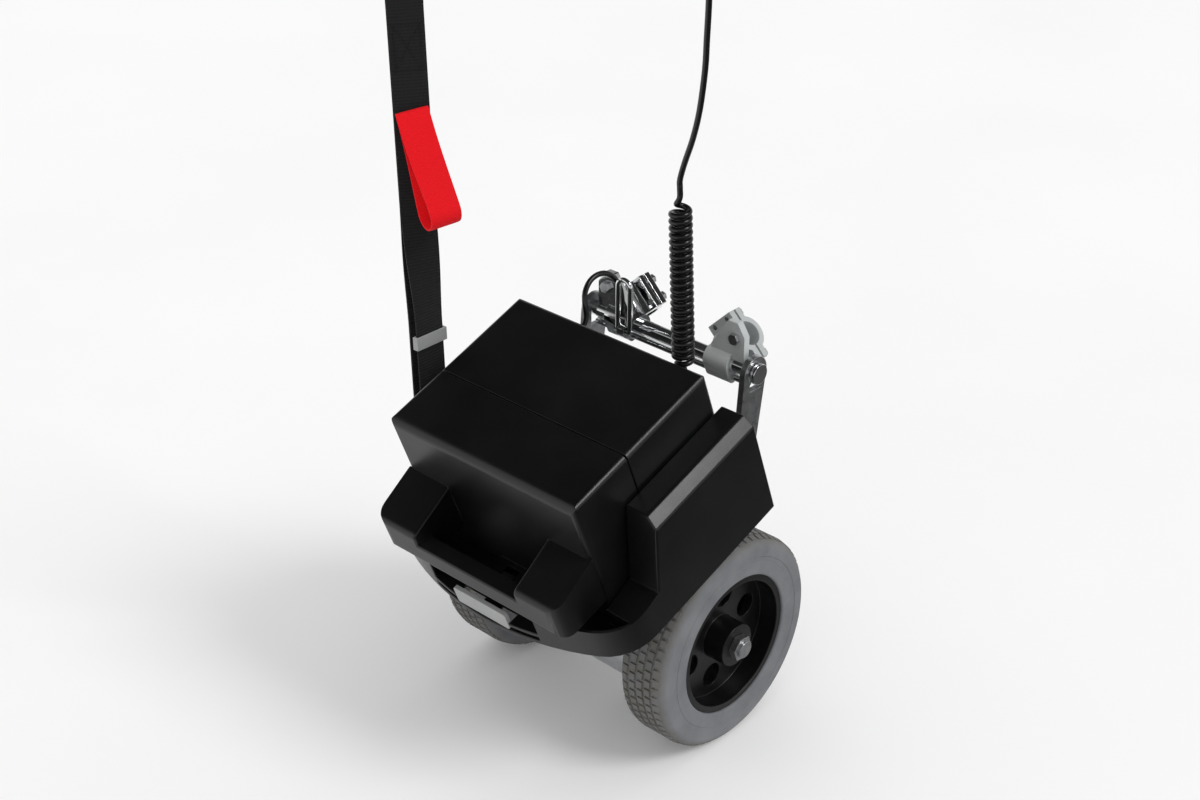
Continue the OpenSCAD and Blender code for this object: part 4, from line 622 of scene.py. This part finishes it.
tree, keys, ins = group_of("tread", [
    ("Radius", "NodeSocketFloat"), ("Around", "NodeSocketInt"), ("Row Step", "NodeSocketFloat"),
    ("Block", "NodeSocketVector"), ("Taper", "NodeSocketFloat"), ("Tilt", "NodeSocketFloat"),
    ("Drop", "NodeSocketFloat"), ("Wheel X", "NodeSocketFloat"), ("Axle", "NodeSocketVector"),
    ("Material", "NodeSocketMaterial")])
cube = grow(tree, "GeometryNodeMeshCube", {"Size": ins["Block"]}).outputs[0]
normal = grow(tree, "GeometryNodeInputNormal").outputs[0]
facing = grow(tree, "ShaderNodeSeparateXYZ", {0: normal}).outputs["Z"]
top = calc(tree, "GREATER_THAN", facing, 0.5)
block = grow(tree, "GeometryNodeScaleElements", {"Geometry": cube, "Selection": top,
                                                 "Scale": ins["Taper"]}).outputs[0]
tall = grow(tree, "ShaderNodeSeparateXYZ", {0: ins["Block"]}).outputs["Z"]
seat = calc(tree, "SUBTRACT", ins["Radius"], calc(tree, "MULTIPLY", tall, 0.5))
pitch = calc(tree, "DIVIDE", 2 * math.pi, ins["Around"])
strip = grow(tree, "GeometryNodeJoinGeometry")
for row in (2, 1, 0, -1, -2):
    height = calc(tree, "SUBTRACT", seat, ins["Drop"]) if abs(row) == 2 else seat
    lean = calc(tree, "MULTIPLY", ins["Tilt"], row / 2 if abs(row) == 2 else 0)
    step = calc(tree, "MULTIPLY", ins["Row Step"], row)
    placed = turned(tree, block, vector(tree, x=step, z=height), vector(tree, y=lean))
    late = calc(tree, "MULTIPLY", pitch, 0.5 * (row % 2))
    tree.links.new(turned(tree, placed, turn=vector(tree, x=late)), strip.inputs[0])
spots = grow(tree, "GeometryNodePoints", {"Count": ins["Around"]}).outputs[0]
turn = calc(tree, "MULTIPLY", grow(tree, "GeometryNodeInputIndex").outputs[0], pitch)
ring = grow(tree, "GeometryNodeInstanceOnPoints", {"Points": spots, "Instance": strip.outputs[0],
                                                   "Rotation": vector(tree, x=turn)}).outputs[0]
real = grow(tree, "GeometryNodeRealizeInstances", {0: ring}).outputs[0]
pair = grow(tree, "GeometryNodeJoinGeometry")
for way in (1, -1):
    away = vector(tree, x=calc(tree, "MULTIPLY", ins["Wheel X"], way))
    spot = grow(tree, "ShaderNodeVectorMath", {0: ins["Axle"], 1: away}, operation="ADD").outputs[0]
    tree.links.new(turned(tree, real, spot), pair.inputs[0])
grow(tree, "NodeGroupOutput", {0: dyed(tree, pair.outputs[0], ins["Material"])})
tread = made_by("tread_blocks", tree, keys, {
    "Radius": tyre_out, "Around": 68, "Row Step": 8.5 * MM,
    "Block": (6.6 * MM, 7.2 * MM, TREAD_H + 0.8 * MM), "Taper": 0.86,
    "Tilt": math.radians(14), "Drop": 0.5 * MM, "Wheel X": WHEEL_X, "Axle": tuple(AXLE),
    "Material": finish["tyre_grey"]})
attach(tread, "wheels")
print("tread faces", len(tread.data.polygons))

# %% [markdown]
# The lead leaves its gland, curls 24 times and runs on to the hand control as one cord. A screw modifier
# could make the curls, but a path by formula gives straight tails and curls that grow in and die out, and
# the same path states the cord's length. The end turns climb steeply, because a flat spiral out of the
# axis would pinch the cord. A ring of points is carried along the path without twisting.

# %% Tube along a path
def ease(t):
    c = min(max(t, 0.0), 1.0)
    return c * c * (3 - 2 * c)


def curve_through(points, steps):
    """Smooth curve through given points."""
    p = [Vector(q) for q in points]
    path = []
    for i in range(len(p) - 1):
        a, b, c, d = p[max(i - 1, 0)], p[i], p[i + 1], p[min(i + 2, len(p) - 1)]
        for k in range(steps):
            t = k / steps
            path.append(0.5 * (2 * b + (c - a) * t + (2 * a - 5 * b + 4 * c - d) * t * t
                               + (3 * b - a - 3 * c + d) * t * t * t))
    return path + [p[-1]]


def tube(name, path, radius, sides):
    """A round tube along a path, closed at both ends."""
    verts, faces = [], []
    side = Vector((1, 0, 0))
    last = len(path) - 1
    for i, point in enumerate(path):
        along = (path[min(i + 1, last)] - path[max(i - 1, 0)]).normalized()
        side = (side - along * side.dot(along)).normalized()
        other = along.cross(side)
        for k in range(sides):
            turn = 2 * math.pi * k / sides
            verts.append(point + radius * (side * math.cos(turn) + other * math.sin(turn)))
    for i in range(last):
        for k in range(sides):
            n = (k + 1) % sides
            faces.append((i * sides + k, i * sides + n, (i + 1) * sides + n, (i + 1) * sides + k))
    faces.append(tuple(reversed(range(sides))))
    faces.append(tuple(last * sides + k for k in range(sides)))
    mesh = bpy.data.meshes.new(name)
    mesh.from_pydata(verts, [], faces)
    for face in mesh.polygons:
        face.use_smooth = len(face.vertices) == 4
    return add_object(name, mesh)


def length_of(path):
    return sum((b - a).length for a, b in zip(path, path[1:]))


print("tube maker ready")

# %% Curly lead
LEAD_R = 2.5
CURLS = 24
CURL_R = 7.5
TAIL = 3.0
TURN_IN = 18.0
PER_TURN = 24
curl_foot = Vector((63, -57, 3))
curl_top = Vector((60, -64, 180))
curl_run = curl_top.z - curl_foot.z - 2 * TAIL
curl_pitch = (curl_run - 2 * TURN_IN) / (CURLS - 2)


def climb(turns):
    """Rise within an end turn, which starts steeply and slows to the pitch of the curls."""
    return curl_pitch * turns + (TURN_IN - curl_pitch) * (turns + math.sin(math.pi * turns) / math.pi)


def curl_point(turns):
    if turns < 1:
        rise = climb(turns)
    elif turns > CURLS - 1:
        rise = curl_run - climb(CURLS - turns)
    else:
        rise = TURN_IN + curl_pitch * (turns - 1)
    middle = curl_foot + (curl_top - curl_foot) * ((TAIL + rise) / (curl_top.z - curl_foot.z))
    r = CURL_R * (1 - math.cos(math.pi * min(turns, CURLS - turns, 1))) / 2
    a = 2 * math.pi * turns
    return middle + Vector((r * math.cos(a), r * math.sin(a), 0))


half_tail = Vector((0, 0, TAIL / 2))
curl_path = [curl_foot, curl_foot + half_tail]
curl_path += [curl_point(i / PER_TURN) for i in range(CURLS * PER_TURN + 1)] + [curl_top - half_tail]
lead_route = [curl_top, (60, -64, 187), (67, -67, 204), (78, -71, 228), (89, -77, 256), (98, -83, 291),
              (103, -88, 317), (108, -93, 345), (111, -97, 362), (111, -97, 372)]
lead_path = [p * MM for p in curl_path + curve_through(lead_route, 4)]
lead = tube("curly_lead", lead_path, LEAD_R * MM, 12)
lead.data.materials.append(finish["cord_rubber"])
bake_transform(lead)
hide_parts("cord_curl", "cord_lead")
tuple(lead_path[0])
length_of(lead_path)
print("lead", round(length_of(lead_path), 3), "m")

# %% [markdown]
# The lock cable leaves its clip on the cover, rises in a short bow and goes down into the left clamp.
# Its two ends sit on different bodies. The points stand at even steps, because a smooth curve through
# uneven ones kinks at the short steps.

# %% Lock cable
CABLE_R = 2.5
cable_route = [(-55, -63.24, 9.42), (-55, -58.54, 11.13), (-55.1, -53.0, 14.4), (-55.9, -49.6, 21.2),
               (-58.2, -48.8, 31), (-61, -45.6, 41), (-62.8, -37.5, 48.3), (-62.6, -27.5, 51.2),
               (-60.8, -18, 49.6), (-57.8, -10.8, 43.6), (-54.6, -7.6, 34.6), (-52.6, -7, 25),
               (-52, -7, 16), (-52, -7, 8)]
cable_path = [p * MM for p in curve_through(cable_route, 3)]
cable = tube("lock_cable_bow", cable_path, CABLE_R * MM, 14)
cable.data.materials.append(finish["cord_rubber"])
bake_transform(cable)
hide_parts("lock_cable")
tuple(cable_path[0])
length_of(cable_path)
print("cable", round(length_of(cable_path), 3), "m")

# %% [markdown]
# The latch's return spring sits in the guide under the deck. Its rear end moves with the push plate and
# its front end stays with the unit.

# %% Latch spring
TILT = math.radians(20)
SPRING_TURNS = 6
WIRE_R = 0.4 * MM
WIRE_END = 1.0 * MM
forward = Vector((0, math.cos(TILT), math.sin(TILT)))
upward = Vector((0, -math.sin(TILT), math.cos(TILT)))
wire = [v.co for v in frame["nodes"]["latch_spring"].data.vertices]
spring_back, spring_front = min(p.dot(forward) for p in wire), max(p.dot(forward) for p in wire)
spring_mid = (min(p.dot(upward) for p in wire) + max(p.dot(upward) for p in wire)) / 2
spring_r = max(p.x for p in wire) - WIRE_R
spring_run = spring_front - spring_back - 2 * WIRE_END


def spring_point(turns):
    r = spring_r * ease(turns) * ease(SPRING_TURNS - turns)
    a = 2 * math.pi * turns
    reach = spring_back + WIRE_END + spring_run * turns / SPRING_TURNS
    return Vector((r * math.cos(a), 0, 0)) + forward * reach + upward * (spring_mid + r * math.sin(a))


spring_foot, spring_head = (forward * u + upward * spring_mid for u in (spring_back, spring_front))
spring_path = [spring_point(i / PER_TURN) for i in range(SPRING_TURNS * PER_TURN + 1)]
spring_path = [spring_foot] + spring_path + [spring_head]
spring = tube("latch_spring_wire", spring_path, WIRE_R, 8)
spring.data.materials.append(finish[slot_of["latch_spring"]])
tuple(spring_path[1])
tuple(spring_path[-2])
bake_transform(spring)
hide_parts("latch_spring")
print("spring", round(spring_run, 4), "m long, radius", round(spring_r, 4))

# %% [markdown]
# The lift strap is one loop of webbing: round the anchor's bar below, and round an eye above. It is drawn
# as a band along the loop's middle line, with a thickness, and turned about its own length above the
# slider, because a slack strap never hangs square. The UV map is in metres for the weave.

# %% Band of webbing along a closed line
STRAP_T = 2.0
STRAP_W = 30.0
BAND_STEPS = 6
BAND_CROWN = 0.18


def band(name, line, width, thick, turn_at):
    """A closed band: line holds (x, z) points of the loop in the strap's own frame, in millimetres."""
    n, across = len(line), BAND_STEPS
    verts, faces, uvs = [], [], []
    run = 0.0
    for i in range(n):
        before, after = Vector(line[i - 1]), Vector(line[(i + 1) % n])
        tangent = (after - before).normalized()
        outward = Vector((tangent.y, -tangent.x))
        here = Vector(line[i])
        spin = Matrix.Rotation(turn_at(here.y), 3, "Z")
        for face_side in (1, -1):
            for k in range(across + 1):
                share = k / across - 0.5
                half = thick / 2 * (1 - BAND_CROWN * (2 * abs(share)) ** 6)
                p = here + outward * half * face_side
                verts.append(spin @ Vector((p.x, share * width, p.y)))
        if i:
            run += (here - Vector(line[i - 1])).length
        uvs.append(run)
    total = run + (Vector(line[0]) - Vector(line[-1])).length
    row = 2 * (across + 1)
    corner_uv = []
    for i in range(n):
        a, b = i * row, ((i + 1) % n) * row
        v0, v1 = uvs[i], uvs[i + 1] if i + 1 < n else total
        for s in (0, 1):
            o = s * (across + 1)
            for k in range(across):
                quad = (a + o + k, a + o + k + 1, b + o + k + 1, b + o + k)
                uv = [(k / across, v0), ((k + 1) / across, v0), ((k + 1) / across, v1), (k / across, v1)]
                if s:
                    quad, uv = quad[::-1], uv[::-1]
                faces.append(quad)
                corner_uv += uv
        for k in (0, across):
            quad = (a + k, b + k, b + across + 1 + k, a + across + 1 + k)
            uv = [(0, v0), (0, v1), (thick / width, v1), (thick / width, v0)]
            if k:
                quad, uv = quad[::-1], uv[::-1]
            faces.append(quad)
            corner_uv += uv
    mesh = bpy.data.meshes.new(name)
    mesh.from_pydata(verts, [], faces)
    layer = mesh.uv_layers.new(name="weave")
    for loop, (u, v) in zip(layer.data, corner_uv):
        loop.uv = (u * width * MM, v * MM)
    even_faces(mesh, 50)
    return add_object(name, mesh), total


def dense(line, gap):
    """The same closed line with extra points, so that no step is longer than the gap."""
    full = []
    for a, b in zip(line, line[1:] + line[:1]):
        n = max(1, math.ceil(math.dist(a, b) / gap))
        full += [(a[0] + (b[0] - a[0]) * k / n, a[1] + (b[1] - a[1]) * k / n) for k in range(n)]
    return full


print("band maker ready")

# %% Lift strap
anchor_at = Vector((-152.35, -150.024, -62.076))
strap_eye = anchor_at + Vector((-15.65, 6, 400))
strap_line = strap_eye - anchor_at
strap_l = strap_line.length
STRAP_IN = 3.45
EYE_R = 11.6
NECK = strap_l * 0.9
TWIST = math.radians(-36)
TWIST_FROM, TWIST_RUN = 80, 110
strap_frame = (Matrix.Translation(anchor_at)
               @ Matrix.Rotation(math.atan2(strap_line.x, strap_line.z), 4, "Y")
               @ Matrix.Rotation(-math.asin(strap_line.y / strap_l), 4, "X"))


def strap_turn(height):
    return TWIST * ease((height - TWIST_FROM) / TWIST_RUN)


mid = STRAP_IN + STRAP_T / 2
eye_mid = EYE_R + STRAP_T / 2
touch = math.degrees(math.atan2(NECK - strap_l, mid) + math.acos(eye_mid / math.hypot(mid, strap_l - NECK)))
loop_line = arc((0, 0), mid, 180, 360, 14) + [(mid, NECK)]
loop_line += arc((0, strap_l), eye_mid, touch, 180 - touch, 24) + [(-mid, NECK)]
strap, strap_total = band("lift_strap_webbing", dense(loop_line, 4.0), STRAP_W, STRAP_T, strap_turn)
strap.data.transform(Matrix.Scale(MM, 4) @ strap_frame)
strap.data.materials.append(finish["strap_web"])
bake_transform(strap)
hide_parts("lift_strap")

# %% [markdown]
# The strap's ends lap below the eye and are sewn with a box and a cross. The seam is drawn as lines on
# the webbing, and Geometry Nodes lay a short thread at every step along them. A line of single threads
# shows the pitch of the machine, which a painted dash would only fake.

# %% Seam by Geometry Nodes
tree, keys, ins = group_of("seam", [
    ("Lines", "NodeSocketGeometry"), ("Pitch", "NodeSocketFloat"), ("Thread", "NodeSocketFloat"),
    ("Length", "NodeSocketFloat"), ("Material", "NodeSocketMaterial")])
curve = grow(tree, "GeometryNodeMeshToCurve", {0: ins["Lines"]}).outputs[0]
evenly = grow(tree, "GeometryNodeResampleCurve", {"Curve": curve, "Length": ins["Pitch"]}, mode="LENGTH")
thread = grow(tree, "GeometryNodeMeshCylinder", {
    "Vertices": 6, "Side Segments": 1, "Fill Segments": 1, "Radius": ins["Thread"],
    "Depth": ins["Length"]}).outputs[0]
tangent = grow(tree, "GeometryNodeInputTangent").outputs[0]
along = grow(tree, "FunctionNodeAlignRotationToVector", {"Vector": tangent}, axis="Z").outputs[0]
laid = grow(tree, "GeometryNodeInstanceOnPoints", {"Points": evenly.outputs[0], "Instance": thread,
                                                   "Rotation": along}).outputs[0]
real = grow(tree, "GeometryNodeRealizeInstances", {0: laid}).outputs[0]
grow(tree, "NodeGroupOutput", {0: dyed(tree, real, ins["Material"])})

SEAM_LOW, SEAM_HIGH, SEAM_Y = NECK - 52, NECK - 14, 11.0
SEAM_STEPS = 12
SEAM_X = STRAP_IN + STRAP_T + 0.05
corners = [(-SEAM_Y, SEAM_LOW), (SEAM_Y, SEAM_LOW), (SEAM_Y, SEAM_HIGH), (-SEAM_Y, SEAM_HIGH)]
sewn = list(zip(corners, corners[1:] + corners[:1])) + [(corners[0], corners[2]), (corners[1], corners[3])]
lines, joins = [], []
for (y0, z0), (y1, z1) in sewn:
    for k in range(SEAM_STEPS + 1):
        share = k / SEAM_STEPS
        height = z0 + (z1 - z0) * share
        spot = Vector((SEAM_X, y0 + (y1 - y0) * share, height))
        lines.append(Matrix.Rotation(strap_turn(height), 3, "Z") @ spot)
        if k:
            joins.append((len(lines) - 2, len(lines) - 1))
seam_mesh = bpy.data.meshes.new("seam_lines")
seam_mesh.from_pydata(lines, joins, [])
seam_mesh.transform(Matrix.Scale(MM, 4) @ strap_frame)
seam = made_by("strap_seam", tree, keys, {"Pitch": 3.2 * MM, "Thread": 0.45 * MM, "Length": 2.5 * MM,
                                          "Material": finish["strap_web"]}, seam_mesh)
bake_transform(seam)
print("strap", round(strap_total), "mm round, seam faces", len(seam.data.polygons))

# %% [markdown]
# The red pull loop hangs from the strap by its sewn top and opens towards the bottom. It is the same
# kind of band on a drop-shaped line. It leans off the strap to the side, and only the band itself is
# turned with the strap.

# %% Pull loop
LOOP_W = 28.0
LOOP_UP = 273.0
LOOP_L = 84.0
LOOP_IN = 1.2
LOOP_TOP = LOOP_IN + STRAP_T / 2
LOOP_LOW = 11.0 + STRAP_T / 2
LOOP_GAP, LOOP_AIR = 0.4, 0.2
LOOP_TURN = math.radians(20)
LOOP_LEAN = math.radians(-18)
loop_x = STRAP_IN + STRAP_T + LOOP_GAP + STRAP_T + LOOP_IN + LOOP_AIR
spread_a = math.degrees(math.acos((LOOP_TOP - LOOP_LOW) / LOOP_L))
drop = arc((0, -LOOP_L), LOOP_LOW, 270 - spread_a, 270 + spread_a, 28)
drop += arc((0, 0), LOOP_TOP, spread_a - 90, 270 - spread_a, 10)


def loop_turn(height):
    return LOOP_TURN * ease(-height / LOOP_L)


loop, loop_total = band("pull_loop_webbing", dense(drop, 3.0), LOOP_W, STRAP_T, loop_turn)
face_on = Matrix.Rotation(TWIST, 4, "Z")
sewn_at = (face_on @ Vector((loop_x, 0, 0))) + Vector((0, 0, LOOP_UP))
loop_frame = strap_frame @ Matrix.Translation(sewn_at) @ Matrix.Rotation(LOOP_LEAN, 4, "Y") @ face_on
loop.data.transform(Matrix.Scale(MM, 4) @ loop_frame)
loop.data.materials.append(finish["loop_web"])
loop.visible_glossy = False  # keeps a red blot off the black lid
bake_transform(loop)
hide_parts("pull_loop")
print("loop", round(loop_total), "mm round")

# %% Colour view
scene = bpy.context.scene
scene.view_settings.view_transform = "Standard"
